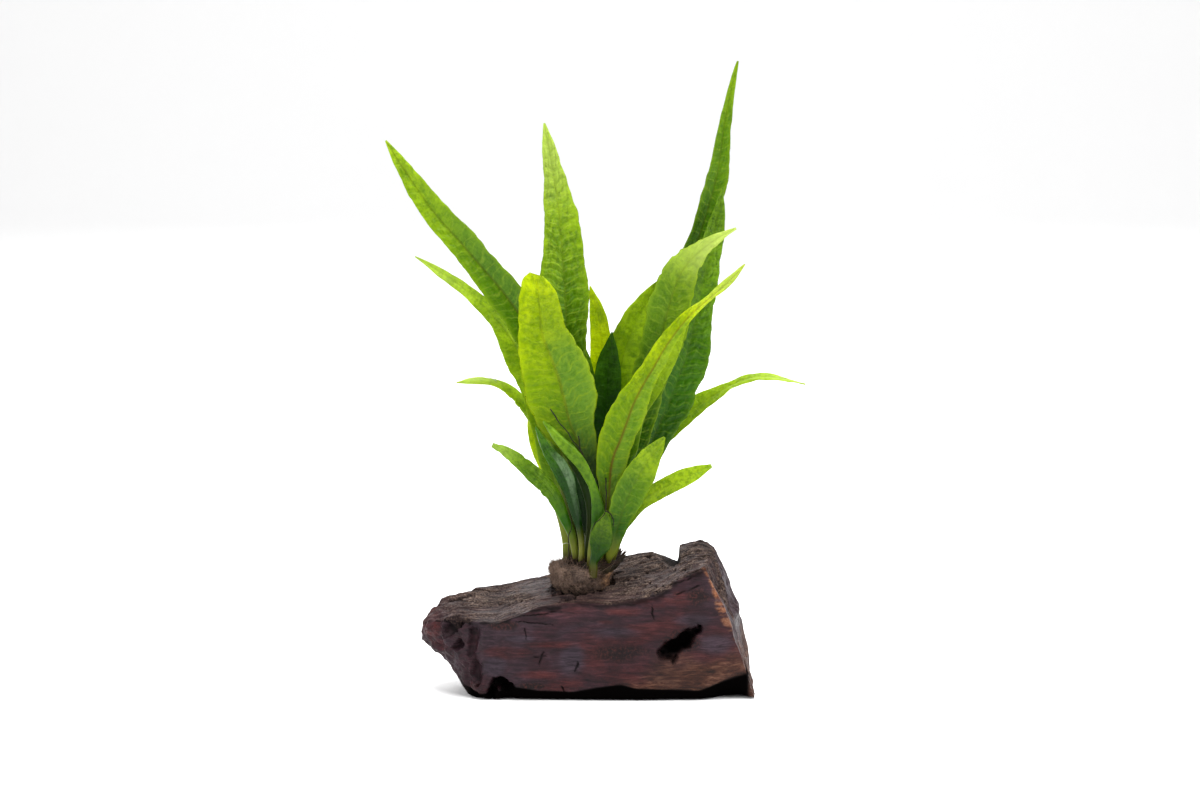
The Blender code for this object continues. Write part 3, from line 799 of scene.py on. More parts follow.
@dataclass
class Frond:
    """One frond: a round stem that flattens into a thin, veined blade.

    facing and tilt give the way its upper side looks, in degrees, at the foot
    and at the tip: facing 0 looks along -Y and turns towards +X, and tilt is
    the angle above the horizon.  A station is x, y, z and the blade's width.

    quilt is how high the cells between the veins stand and ruffle how far the
    margin waves.  tatter is how deep the margin is bitten, aslant how steeply
    the tip is cut.  rib_shift moves the midrib off the middle, as a share of
    half the width.  sheen_side paints a sheen on one half, the left one where
    it is negative, as light would catch it; on mid-green blades it paints
    shade.  painted_shade paints shade on the lower frond, stronger towards
    the back, up to the height painted_shade_top.  ripeness moves the colours
    of the tip down the blade, and bleach pales its tip.
    """

    name: str
    age: Age
    facing: tuple[float, float]
    tilt: tuple[float, float]
    stations: tuple[Station, ...]
    quilt: float = 0.28
    ruffle: float = 0.8
    rib_shift: float = 0.0
    rib_tone: float = 0.35
    ripeness: float = 0.0
    tatter: float = 0.03
    aslant: float = 0.0
    # Painted sheen on one half of the blade; the sign picks the half.
    sheen_side: float = 0.0
    # Painted shade low in the clump, and the height it reaches.
    painted_shade: float = 1.0
    painted_shade_top: float = 96.0
    bleach: float = 0.0
    row_pitch: float = 0.72
    fewest_rows: int = 90
    most_rows: int = 250
    curve_steps: int = 24
    across: int = 31
    vein_pitch: float = 3.8
    vein_slant: float = 0.40
    vein_tone: float = 0.5
    blade_thickness: float = 0.42
    fold: float = 0.16
    sunk: float = 3.0
    stem_width: float = 3.0
    blade_width: float = 9.0

    def frames(self, spine: np.ndarray) -> tuple[np.ndarray, np.ndarray]:
        """Work out the upward and sideways directions along the spine.

        The blade looks the way that facing and tilt say, as nearly as a right
        angle to the spine allows.

        Args:
            spine: points along the frond.

        Returns:
            The unit normals of the upper side, and the unit directions across.
        """
        tangent = unit(np.gradient(spine, axis=0))
        way = np.linspace(0.0, 1.0, len(spine))
        azimuth = np.radians(np.interp(way, (0, 1), self.facing))
        tilt = np.radians(np.interp(way, (0, 1), self.tilt))
        facing = np.stack([np.sin(azimuth) * np.cos(tilt), -np.cos(azimuth) * np.cos(tilt),
                           np.sin(tilt)], axis=1)
        normal = unit(facing - (facing * tangent).sum(axis=1, keepdims=True) * tangent)
        return normal, np.cross(tangent, normal)

    def veins(self, travelled: np.ndarray, offset: np.ndarray, half: np.ndarray,
              noise: Noise) -> tuple[np.ndarray, np.ndarray, np.ndarray]:
        """Lay the net of veins over the blade.

        Side veins leave the midrib forwards, a pitch apart, and cross veins
        part the strips between them into cells.  A cell's height falls from
        one at its middle to nothing at its veins, as one minus the fourth
        power of the distance from the middle.

        Args:
            travelled: length along the frond, rows by one.
            offset: distance from the midrib, rows by points.
            half: half the blade's width, rows by one.
            noise: the frond's own noise.

        Returns:
            The cells' heights, the running number of the strips, and the
            running number of the cells across a strip.
        """
        away = np.abs(offset)
        lane = np.where(offset >= 0.0, 0.0, 5.3)
        wander = noise.at(np.stack([travelled / 7.0 + 0 * away, away / 4.0 + lane,
                                    lane], axis=-1))
        running = (travelled - self.vein_slant * away) / self.vein_pitch + 0.45 * wander
        running = running + np.where(offset >= 0.0, 0.5, 0.0)
        strip = np.abs(2.0 * (running - np.floor(running)) - 1.0)
        cells = np.maximum(half / 3.4, 1.2)
        column = away / cells + 0.2 * wander
        shifted = column + 0.5 * (np.floor(running) % 2)
        cell = np.abs(2.0 * (shifted - np.floor(shifted)) - 1.0)
        height = (1.0 - strip ** 4) * (0.45 + 0.55 * (1.0 - cell ** 4))
        return height, running, column

    def route(self) -> tuple[np.ndarray, float]:
        """Draw the spine, from a little way inside the rhizome to the tip.

        Returns:
            Rows of x, y, z and width, and the frond's length.
        """
        stations = np.array(self.stations, float)
        forwards = unit(stations[1, :3] - stations[0, :3])
        first = stations[0] - np.append(forwards, 0.0) * self.sunk
        curve = catmull_rom(np.vstack([first, stations]), self.curve_steps)
        length = route_length(curve)
        rows = int(np.clip(length / self.row_pitch, self.fewest_rows, self.most_rows))
        return evenly_along(curve, rows), length

    def build(self, seed: int) -> Surface:
        """Carry the section along the spine.

        The section runs over the upper side from margin to margin and back
        under the lower side.  Its height is the fold, which rises with the
        distance from the midrib, plus the cells between the veins, plus the
        ruffle, which grows with the third power towards the margin, plus or
        minus half the thickness and the midrib's own ridge.

        Args:
            seed: number of the frond's own noise.

        Returns:
            The frond's closed surface.
        """
        noise = Noise(900 + seed)
        route, length = self.route()
        spine, width = route[:, :3], np.maximum(route[:, 3], 0.35)
        half = 0.5 * width[:, None]
        normal, side = self.frames(spine)
        travelled = np.linspace(0.0, length, len(route))[:, None]
        flat = np.clip((width - self.stem_width) / (self.blade_width - self.stem_width), 0, 1)
        flattest = np.maximum.accumulate(flat)
        flat = np.where(flattest > 0.3, flattest, flat)[:, None]

        upper = np.linspace(-1.0, 1.0, self.across)
        share = np.concatenate([upper, upper[-2:0:-1]])[None, :]
        level = np.concatenate([np.ones(self.across), -np.ones(self.across - 2)])[None, :]
        edge = np.abs(share)
        lane = np.where(share >= 0.0, 1.0, 0.0)

        def waves(pitch: float, apart: float, layer: float) -> np.ndarray:
            """Read noise along both halves of the blade, about a wave to each pitch."""
            return noise.at(np.stack(np.broadcast_arrays(travelled / pitch, lane * apart,
                                                         layer), axis=-1))

        gnawed = waves(2.6, 6.3, 3.5)
        bite = self.tatter * smooth_step(gnawed, 0.1, 0.5)
        scallop = 0.07 * waves(4.2, 9.1, 0.0) + 0.16 * waves(13.0, 4.7, 0.5)
        across = share * half * (1.0 + flat * edge ** 2 * (scallop - bite))
        offset = across - self.rib_shift * half
        cells, running, column = self.veins(travelled, offset, half, noise)
        inner = 1.0 - edge ** 6
        left = 1.0 - travelled / length
        rib = np.exp(-(offset / (0.55 + 0.5 * left)) ** 2)
        calm = smooth_step(travelled / length, 0.25, 0.45)
        flutter = waves(11.0, 3.3, 1.5) + 0.35 * waves(4.5, 7.9, 2.5)
        relief = flat * (2.0 * self.fold * np.abs(offset)
                         + self.quilt * (cells - 0.5) * inner * (1.0 - rib)
                         + self.ruffle * calm * edge ** 3 * flutter)
        round_half = np.minimum(half, 1.3) * np.sqrt(np.maximum(1.0 - share ** 2, 0.0))
        blade_half = 0.5 * self.blade_thickness * (1.0 - edge ** 3)
        ridge = rib * (0.15 + 0.55 * left ** 1.5) * np.where(level > 0, 0.25, 1.0) * inner
        thick = (1.0 - flat) * round_half + flat * (blade_half + ridge)
        height = relief + level * thick
        rings = (spine[:, None] + across[..., None] * side[:, None]
                 + height[..., None] * normal[:, None])
        reach = travelled / length + 0 * edge
        bitten = offset + 0.6 * gnawed * (1.0 - edge)
        rings[..., 2] -= self.aslant * smooth_step(reach, 0.93, 1.0) * bitten
        marks = self.paint(rings, reach, flat + 0 * edge, offset, half)
        marks.update(lateral=running, column=column, margin=flat * edge ** 8,
                     veined=self.vein_tone * flat * inner,
                     foot=1.0 - smooth_step(travelled + 0 * edge, 2.0, 6.0))
        return closed_tube(rings, marks)

    def paint(self, rings: np.ndarray, reach: np.ndarray, flat: np.ndarray,
              offset: np.ndarray, half: np.ndarray) -> Marks:
        """Paint shade and sheen on each point, and say how bleached, ribbed and ripe it is.

        Args:
            rings: the frond's surface.
            reach: share of the way from foot to tip.
            flat: 0 on the round stem and 1 on the blade.
            offset: distance from the midrib.
            half: half the blade's width.

        Returns:
            The marks, by name.
        """
        # Painted shade: darker low down and towards the back of the clump.
        depth = 0.30 + 0.70 * smooth_step(rings[..., 1], -17.0, -4.0)
        shade = (1.0 - smooth_step(rings[..., 2], 50.0, self.painted_shade_top)) * depth
        # Painted sheen on one half of the blade, as the light would catch it.
        sheen_half = smooth_step(np.sign(self.sheen_side) * offset / half, -0.02, 0.05)
        rib_width = np.maximum(0.22 + 0.3 * (1.0 - reach), 0.042 * half)
        rib = np.exp(-(offset / rib_width) ** 2) * flat * self.rib_tone * (1.25 - reach)
        return {"shade": np.clip(shade * self.painted_shade, 0.0, 1.0),
                "sheen": (abs(self.sheen_side) * sheen_half * flat
                         * (1.0 - smooth_step(reach, 0.72, 0.84))),
                "bleach": self.bleach * smooth_step(reach, 0.76, 0.96),
                "rib": np.clip(rib, 0.0, 1.0),
                "reach": np.clip(reach + self.ripeness, 0.0, 1.0),
                "stalk": 1.0 - smooth_step(reach, 0.10, 0.30)}

    def dress(self, seed: int, material: bpy.types.Material) -> None:
        """Make the frond's mesh and settle it."""
        settle(self.build(seed).to_object(f"{self.name}_blade"), material,
               self.age.value.slot, self.name)


# --- driftwood --------------------------------------------------------------------


@dataclass(frozen=True)
class Hollow:
    """An egg-shaped hollow in the wood, turned about Y by degrees, with its painted shade."""

    centre: Point
    radii: Point
    turn: float = 0.0
    dark: float = 1.0

    def local(self, points: np.ndarray) -> np.ndarray:
        """Turn points into the hollow's own axes, where its wall is at one.

        Args:
            points: places in the wood's axes.

        Returns:
            The same places, as shares of the radii.
        """
        moved = points - np.array(self.centre)
        angle = math.radians(self.turn)
        cosine, sine = math.cos(angle), math.sin(angle)
        turned = np.stack([moved[..., 0] * cosine - moved[..., 2] * sine, moved[..., 1],
                           moved[..., 0] * sine + moved[..., 2] * cosine], axis=-1)
        return turned / np.array(self.radii)

    def carve(self, points: np.ndarray, normal: np.ndarray,
              rough: np.ndarray) -> tuple[np.ndarray, np.ndarray]:
        """Push the surface in to the hollow's far wall.

        A point inside the egg moves against its normal to where that line
        leaves the egg, the larger root of a quadratic.

        Args:
            points: the wood's surface.
            normal: its outward directions.
            rough: noise that makes the hollow's edge uneven.

        Returns:
            The moved points, and the shade painted on each, from 0 to 1.
        """
        inside = self.local(points) * (1.0 + 0.36 * rough[..., None])
        way = self.local(np.array(self.centre) - normal)
        a = (way ** 2).sum(axis=-1)
        b = 2.0 * (inside * way).sum(axis=-1)
        c = (inside ** 2).sum(axis=-1) - 1.0
        root = (-b + np.sqrt(np.maximum(b * b - 4.0 * a * c, 0.0))) / (2.0 * a)
        depth = np.where(c < 0.0, root, 0.0)
        return points - normal * depth[..., None], np.clip(-1.6 * c, 0.0, 1.0) * self.dark


@dataclass
class Driftwood:
    """The weathered wood, from its pointed nose at -X to its broken end at +X."""

    node: str = "driftwood"
    length_rows: int = 300
    end_rows: int = 36
    ring_points: int = 286
    bulge: float = 0.6
    end_way: Point = (0.93, 0.0, 0.36)
    grain_pitch: Point = (20.0, 1.7, 1.7)
    end_grain_pitch: Point = (9.0, 1.3, 6.0)
    swell_pitch: Point = (26.0, 13.0, 13.0)
    crack_pitch: Point = (34.0, 6.5, 6.5)
    # Each hollow is carved, and its last number paints shade into it.
    hollows: tuple[Hollow, ...] = (
        Hollow((29.6, -28.5, 20.0), (9.4, 8.0, 3.2), -32.0),
        Hollow((25.4, -28.0, 17.2), (4.4, 5.5, 3.1), -10.0),
        Hollow((-51.4, -17.6, 25.4), (3.8, 3.4, 4.6), 24.0, 0.6),
        Hollow((-48.6, -19.2, 18.8), (3.0, 2.8, 1.5), -30.0, 0.3),
        Hollow((-33.8, -28.0, 6.2), (3.6, 7.0, 2.8), -18.0),
        Hollow((-36.6, -28.0, 3.2), (2.4, 6.0, 3.4)),
        Hollow((-30.4, -28.0, 4.4), (1.8, 5.0, 2.2)),
        Hollow((-9.0, -18.6, 34.6), (3.2, 3.2, 2.0)),
        Hollow((-45.2, -20.5, 30.5), (2.4, 3.2, 4.8), 8.0, 0.25),
        Hollow((-43.6, -23.0, 20.5), (2.2, 2.6, 7.6), 12.0, 0.2),
        Hollow((-42.4, -23.8, 10.0), (1.9, 2.6, 6.4), -6.0, 0.2),
    )
    # The socket under the root mat, painted with shade.
    socket: Hollow = Hollow((-5.6, -2.8, 43.5), (12.4, 15.4, 13.4), dark=0.85)
    swellings: tuple[tuple[Point, Point, float], ...] = (
        ((-47.6, -15.0, 32.0), (5.0, 6.0, 1.8), 1.5),
        ((-53.0, -18.0, 21.5), (1.6, 6.0, 5.0), 1.6),
        ((-56.0, -16.0, 15.5), (5.0, 6.0, 1.4), 1.2),
        ((-58.5, -9.0, 23.5), (4.5, 6.0, 5.5), 1.5),
        ((-39.5, -23.0, 22.0), (2.4, 6.0, 8.0), 0.9),
        ((-41.0, -24.0, 4.5), (3.0, 5.0, 3.0), 1.4),
        ((51.5, 2.0, 26.5), (4.0, 14.0, 3.6), 2.0),
        ((-36.5, -25.0, 3.0), (2.0, 5.0, 2.2), 1.0),
    )
    splits: tuple[Split, ...] = (
        (-5.6, 14.2, -7.2, 10.6, 0.30), (-18.6, 17.2, -19.6, 12.6, 0.26),
        (-25.2, 25.6, -24.2, 21.4, 0.24), (-22.5, 15.4, -17.0, 16.0, 0.14),
        (20.6, 34.0, 21.0, 29.0, 0.28), (37.6, 25.6, 33.8, 21.2, 0.22),
        (-27.8, 28.4, -15.0, 27.0, 0.22), (21.0, 39.2, 36.5, 44.2, 0.26),
        (-12.0, 5.6, -11.4, 2.8, 0.35), (-26.0, 30.2, -12.0, 31.4, 0.20),
        (24.0, 41.6, 38.0, 46.4, 0.22), (28.0, 37.4, 39.0, 41.4, 0.20),
    )
    rash: tuple[Patch, ...] = (
        (8.0, 17.0, 10.0, 3.8), (-32.5, 26.6, 6.0, 1.7), (-23.0, 5.0, 5.5, 1.6),
        (31.0, 21.5, 7.0, 4.4), (37.0, 36.5, 5.0, 4.0),
    )
    red: tuple[Patch, ...] = (
        (9.5, 31.4, 12.0, 2.4), (-31.0, 17.0, 8.5, 2.2), (29.0, 36.0, 9.0, 3.0),
        (-16.0, 20.0, 10.0, 1.6), (4.0, 27.8, 5.0, 1.4), (-22.0, 9.0, 9.0, 1.8),
        (-59.0, 25.0, 4.5, 5.0),
    )
    # Patches of painted sheen, where the damp face would catch the light.
    damp_sheen: tuple[Patch, ...] = (
        (8.0, 24.6, 12.0, 2.8), (-36.0, 11.0, 6.0, 4.0), (36.0, 29.0, 9.0, 3.0),
        (-8.0, 14.0, 5.0, 6.0), (-27.0, 22.0, 8.0, 2.0), (43.0, 20.0, 7.0, 5.0),
    )
    ridges: tuple[tuple[str, tuple[Point, ...]], ...] = (
        ("upper_front", (
            (-62.5, -6, 23), (-58, -11, 26), (-50, -18, 27.5), (-35.5, -24.5, 27.5),
            (-26.5, -25, 31), (-19.5, -24.5, 33.4), (-9, -24, 34.8),
            (3, -24, 34.4), (14, -24, 35.4), (21.5, -24, 37.6), (26.7, -23.5, 41),
            (33.8, -23, 45), (39, -22, 47.5))),
        ("middle_front", (
            (-63.3, -6, 21), (-58, -12, 20), (-50, -19, 19), (-43, -23.5, 17),
            (-30, -26, 17.5), (0, -27, 18), (25, -27, 20), (40, -26.5, 23),
            (48.3, -25.5, 26))),
        ("lower_front", (
            (-62.5, -5, 19), (-58, -10, 15.5), (-52, -14, 10.5), (-46, -20, 3.6),
            (-41, -24, 1.6), (-34.5, -25, 3.2), (-29, -26.3, 5), (-20, -26.6, 3.4),
            (-8, -26.8, 3), (1, -26.8, 4.8), (9, -26.8, 6), (14, -26.8, 4.6),
            (37, -26.5, 3.4), (42, -26, 5.2), (47, -25.3, 7.6), (54, -24, 9.6))),
        ("front_foot", (
            (-61.5, -3, 17.5), (-52, -9, 9), (-45.5, -18, 0), (-41, -22.5, 0),
            (-35, -23.5, 0), (-31.5, -21, 0), (-27, -23.5, 0), (-15, -25, 0),
            (0, -25, 0), (20, -25, 0), (38, -24.5, 0), (42.5, -22.5, 0),
            (46, -17.5, 0), (51.5, -17, 0), (54.8, -21.5, 0), (57, -23.5, 0))),
        ("back_foot", (
            (-61.5, 0, 18), (-52, 3, 10), (-44, 10, 0), (-20, 17, 0), (0, 19, 0),
            (38, 18, 0), (57.5, 13, 0))),
        ("middle_back", (
            (-62.5, 1, 21), (-55, 9, 20), (-44, 18, 17), (-25, 23, 17),
            (0, 25, 19), (28, 24, 21), (54.3, 17, 21))),
        ("upper_back", (
            (-62, -1, 24), (-59, 2, 28), (-54.7, 6, 31.2), (-46.8, 10, 32.3),
            (-43, 15, 33.5), (-35, 18, 33.5), (-27.5, 18.5, 35), (-18.5, 19, 36.9),
            (-5, 19.5, 40), (11, 19, 43.7), (16.5, 18.5, 45.4), (24.6, 18, 47),
            (31, 17, 49), (39, 16, 51.4), (44, 15, 48.5))),
    )
    facet_shares: tuple[float, ...] = (0.15, 0.14, 0.10, 0.16, 0.12, 0.14, 0.19)

    def skeleton(self) -> tuple[np.ndarray, np.ndarray]:
        """Rule the facets between the ridges.

        Each ridge is read at even steps of its own length in X.  Between two
        ridges a facet is a straight line with a sine bulge, and a short
        running mean rounds the ridges.

        Returns:
            The rings, rows by points by three, and each point's facet number,
            which runs from 0 at the front edge of the top round by the front.
        """
        way = np.linspace(0.0, 1.0, self.length_rows)
        lines = []
        for _, listed in self.ridges:
            points = np.array(listed, float)
            x = points[0, 0] + way * (points[-1, 0] - points[0, 0])
            lines.append(np.stack([x, np.interp(x, points[:, 0], points[:, 1]),
                                   np.interp(x, points[:, 0], points[:, 2])], axis=1))
        corners = np.stack(lines, axis=1)
        following = np.roll(corners, -1, axis=1)
        middle = corners.mean(axis=1, keepdims=True)
        counts = np.round(np.array(self.facet_shares) * self.ring_points).astype(int)
        pieces, numbers = [], []
        for facet, count in enumerate(counts):
            share = (np.arange(count) / count)[None, :, None]
            first, second = corners[:, facet, None], following[:, facet, None]
            line = first + share * (second - first)
            outward = line - middle
            outward[..., 0] = 0.0
            floor_facet = self.ridges[facet][0] == "front_foot"
            rise = 0.0 if floor_facet else self.bulge
            pieces.append(line + rise * np.sin(math.pi * share) * unit(outward))
            numbers.append(facet + share[0, :, 0])
        rings = np.concatenate(pieces, axis=1)
        for _ in range(5):
            rings[..., 1:] = (0.25 * np.roll(rings, 1, axis=1) + 0.5 * rings
                              + 0.25 * np.roll(rings, -1, axis=1))[..., 1:]
        for _ in range(6):
            rings[1:-1] = 0.25 * rings[:-2] + 0.5 * rings[1:-1] + 0.25 * rings[2:]
        return rings, np.concatenate(numbers)

    def add_end(self, rings: np.ndarray) -> np.ndarray:
        """Close the broken end with rings that shrink to its middle.

        Args:
            rings: the sides of the wood.

        Returns:
            The sides and the end.
        """
        shrink = np.linspace(0.0, 1.0, self.end_rows + 1)[1:, None, None] * 0.985
        middle = rings[-1].mean(axis=0)
        return np.concatenate([rings, rings[-1] + shrink * (middle - rings[-1])])

    def build(self) -> Surface:
        """Roughen the skeleton into wood.

        Displacement runs along the surface's own normal.  It is the sum of
        broad swells, a grain of noise drawn out along X and deepest on the
        weathered top, and the listed swellings, each falling off as a bell
        curve, less the splits and the long cracks where a slow noise crosses
        zero.  Hollows, the step and the socket are carved last.  Shade is
        painted into the cracks, splits, hollows, step and socket, and into a
        crease under the front edge of the top.

        Returns:
            The wood's closed surface.
        """
        sides, facets = self.skeleton()
        rings = self.add_end(sides)
        along = np.gradient(rings, axis=0)
        around = np.roll(rings, -1, axis=1) - np.roll(rings, 1, axis=1)
        normal = unit(np.cross(around, along))
        outward = sides - sides.mean(axis=1, keepdims=True)
        if (normal[:self.length_rows] * outward).sum() < 0.0:
            normal = -normal
        on_end = (np.arange(len(rings)) >= self.length_rows)[:, None] * 1.0
        normal = np.where(on_end[..., None] > 0, unit(np.array(self.end_way)), normal)

        noise = Noise(41)
        grain = np.where(on_end > 0,
                         noise.layers(rings / np.array(self.end_grain_pitch) + 5.0, 4),
                         noise.layers(rings / np.array(self.grain_pitch), 4))
        swell = noise.layers(rings / np.array(self.swell_pitch) + 3.1, 3)
        slow = noise.layers(rings / np.array(self.crack_pitch) + 9.7, 2)
        knobs = noise.layers(rings / 4.2 + 1.3, 3)
        past_edge = np.where(facets > 3.5, facets - len(self.ridges), facets)[None]
        ragged = past_edge + 0.07 * knobs
        is_top = band(ragged, (-1.1, -0.88), (-0.01, 0.05))
        is_floor = band(facets, (2.9, 3.0), (4.0, 4.1)) * (1.0 - on_end)
        is_front = 1.0 - smooth_step(facets, 2.1, 2.5)
        crack = (smooth_step(-np.abs(slow), -0.055, 0.0) * smooth_step(swell, -0.35, 0.10)
                 * (1.0 - 0.9 * is_front) * (0.35 + 0.65 * np.maximum(is_top, on_end)))
        split = self.split_depth(rings, knobs) * is_front[None] * (1.0 - on_end)
        patch = smooth_step(swell + 0.35 * grain, -0.25, 0.35)
        nose = 1.0 - smooth_step(rings[..., 0] + 0.5 * rings[..., 2], -46.0, -22.0)
        weathered = np.clip(is_top * (0.55 + 0.45 * patch) * (1.0 - 0.5 * nose), 0, 1)
        rough = 0.14 + 0.34 * weathered + 0.22 * nose + 0.22 * on_end
        depth = (0.75 * swell + rough * grain + 0.9 * nose * knobs - 0.5 * split
                 - (0.35 + 0.8 * weathered) * crack)
        for centre, radii, height in self.swellings:
            away = (((rings - np.array(centre)) / np.array(radii)) ** 2).sum(axis=-1)
            depth = depth + height * np.exp(-1.5 * away)
        steady = 1.0 - is_floor
        points = rings + (depth * steady)[..., None] * normal

        # Painted shade in the cracks and splits.
        shaded_hollow = np.maximum(0.75 * crack, 0.7 * split) * steady
        # Painted shadow in a crease under the front edge of the top.
        crease = np.exp(-((ragged - 0.06) / 0.05) ** 2) * (1.0 - on_end)
        shaded_hollow = np.maximum(shaded_hollow, 0.55 * crease * smooth_step(grain, -0.5, 0.2))
        rough_edge = noise.layers(rings / 3.4 + 2.2, 3)
        points, dark = self.carve(points, normal, rough_edge)
        return closed_tube(points, self.paint(rings, facets, on_end, grain, swell,
                                              np.maximum(shaded_hollow, dark), weathered))

    def carve(self, points: np.ndarray, normal: np.ndarray,
              rough: np.ndarray) -> tuple[np.ndarray, np.ndarray]:
        """Carve the hollows, the step and the socket, and keep the foot flat.

        Args:
            points: the wood's surface.
            normal: its outward directions.
            rough: noise that makes the edges uneven.

        Returns:
            The moved points, and the shade painted on each, from 0 to 1.
        """
        darkest = np.zeros(points.shape[:-1])
        for shaded_hollow in self.hollows:
            points, dark = shaded_hollow.carve(points, normal, rough)
            darkest = np.maximum(darkest, dark)
        points, step = self.carve_step(points, rough)
        upright = np.broadcast_to((0.0, 0.0, 1.0), points.shape)
        points, pit = self.socket.carve(points, upright, 0.6 * rough)
        points[..., 2] = np.maximum(points[..., 2], 0.0)
        return points, np.maximum.reduce([darkest, step, pit])

    def split_depth(self, rings: np.ndarray, wobble: np.ndarray) -> np.ndarray:
        """Draw the listed splits on the front: x and z of both ends, and half a width.

        The depth falls to nothing at that distance from the line between the
        ends, which the wobble bends.

        Args:
            rings: the wood's surface.
            wobble: noise in space.

        Returns:
            The depth of each point, from 0 to 1.
        """
        x = rings[..., 0] + 0.8 * wobble
        z = rings[..., 2] + 0.5 * wobble
        deepest = np.zeros_like(x)
        for x0, z0, x1, z1, half in self.splits:
            run = np.array((x1 - x0, z1 - z0))
            share = np.clip(((x - x0) * run[0] + (z - z0) * run[1]) / (run ** 2).sum(), 0, 1)
            away = np.hypot(x - x0 - share * run[0], z - z0 - share * run[1])
            thin = half * (0.35 + 0.65 * np.sin(math.pi * np.clip(share, 0.05, 0.95)))
            deepest = np.maximum(deepest, 1.0 - smooth_step(away / thin, 0.3, 1.6))
        return deepest

    def paint(self, rings: np.ndarray, facets: np.ndarray, on_end: np.ndarray,
              grain: np.ndarray, swell: np.ndarray, shaded_hollow: np.ndarray,
              weathered: np.ndarray) -> Marks:
        """Say how weathered, red, brown or bare each point is, and paint shade and sheen.

        Args:
            rings: the wood's surface before it was roughened.
            facets: each ring point's facet number.
            on_end: 1 on the broken end, 0 elsewhere.
            grain: noise drawn out along the wood.
            swell: slow noise.
            shaded_hollow: the shade painted in hollows, cracks and creases.
            weathered: how weathered each point is.

        Returns:
            The marks, by name.
        """
        x, z = rings[..., 0], rings[..., 2]
        uneven = 0.45 * swell + 0.12 * grain

        def patches(listed: tuple[Patch, ...]) -> np.ndarray:
            """Fade out from the middle of each patch.

            Args:
                listed: x, z and two radii of each patch.

            Returns:
                The strongest patch at each point, from 0 to 1.
            """
            best = np.zeros_like(x)
            for across, up, wide, high in listed:
                away = np.hypot((x - across) / wide, (z - up) / high) + uneven
                best = np.maximum(best, 1.0 - smooth_step(away, 0.45, 1.15))
            return best * (1.0 - weathered) * (1.0 - on_end)

        # Painted shade: the underside beneath the front edge is painted black.
        under = (band(facets, (1.97, 2.10), (3.0, 3.2))[None]
                 * band(x, (-50.0, -44.0), (54.0, 55.6)))
        edge_x = rings[self.length_rows - 1, :, 0][None]
        near_end = smooth_step(x - edge_x + 3.0 * uneven, -1.5, -0.2) * (1.0 - on_end)
        past_end = np.arange(len(rings))[:, None] - self.length_rows
        near_end = near_end + on_end * (1.0 - smooth_step(past_end + 6.0 * uneven, 1.0, 8.0))
        at_front = (1.0 - smooth_step(facets, 1.3, 2.0))[None]
        # Pale end rim: partly bare heartwood, partly a painted highlight on the edge.
        rim = near_end * at_front * smooth_step(z, 14.0, 40.0) * smooth_step(grain, -0.3, 0.3)
        brown = smooth_step(x + 6.0 * swell, 6.0, 26.0) * (1.0 - smooth_step(
            z + 5.0 * swell - 0.12 * x, 7.0, 13.0))
        return {"weathered": weathered, "shaded_hollow": np.clip(np.maximum(shaded_hollow, under), 0, 1),
                "rim": np.clip(0.9 * rim, 0, 1), "ochre": 0.85 * brown * (1.0 - weathered),
                "rash": 0.85 * patches(self.rash), "red": 0.85 * patches(self.red),
                "damp_sheen": 0.8 * patches(self.damp_sheen)}

    @staticmethod
    def carve_step(points: np.ndarray, rough: np.ndarray) -> tuple[np.ndarray, np.ndarray]:
        """Break the step out of the back edge of the top.

        Between two ends in X, and behind a front line, nothing stands higher
        than a plane that falls towards the upright wall of the step.

        Args:
            points: the wood's surface.
            rough: noise that makes the break uneven.

        Returns:
            The moved points, and the shade painted on each.
        """
        x, y, z = (points[..., axis] for axis in range(3))
        floor = 42.0 + 0.445 * (30.6 - x) + 0.5 * rough
        here = (band(x, (18.0, 20.6), (30.3, 31.0))
                * smooth_step(y + 1.2 * rough, -6.0, -4.0))
        drop = np.maximum(z - floor, 0.0) * here
        moved = points.copy()
        moved[..., 2] -= drop
        return moved, np.clip(drop / 6.0, 0.0, 0.7)

    def dress(self) -> None:
        """Make the wood's mesh and settle it."""
        finish = WoodFinish()
        settle(self.build().to_object("weathered_driftwood"), finish.make(), finish.slot,
               self.node)


# --- roots ------------------------------------------------------------------------


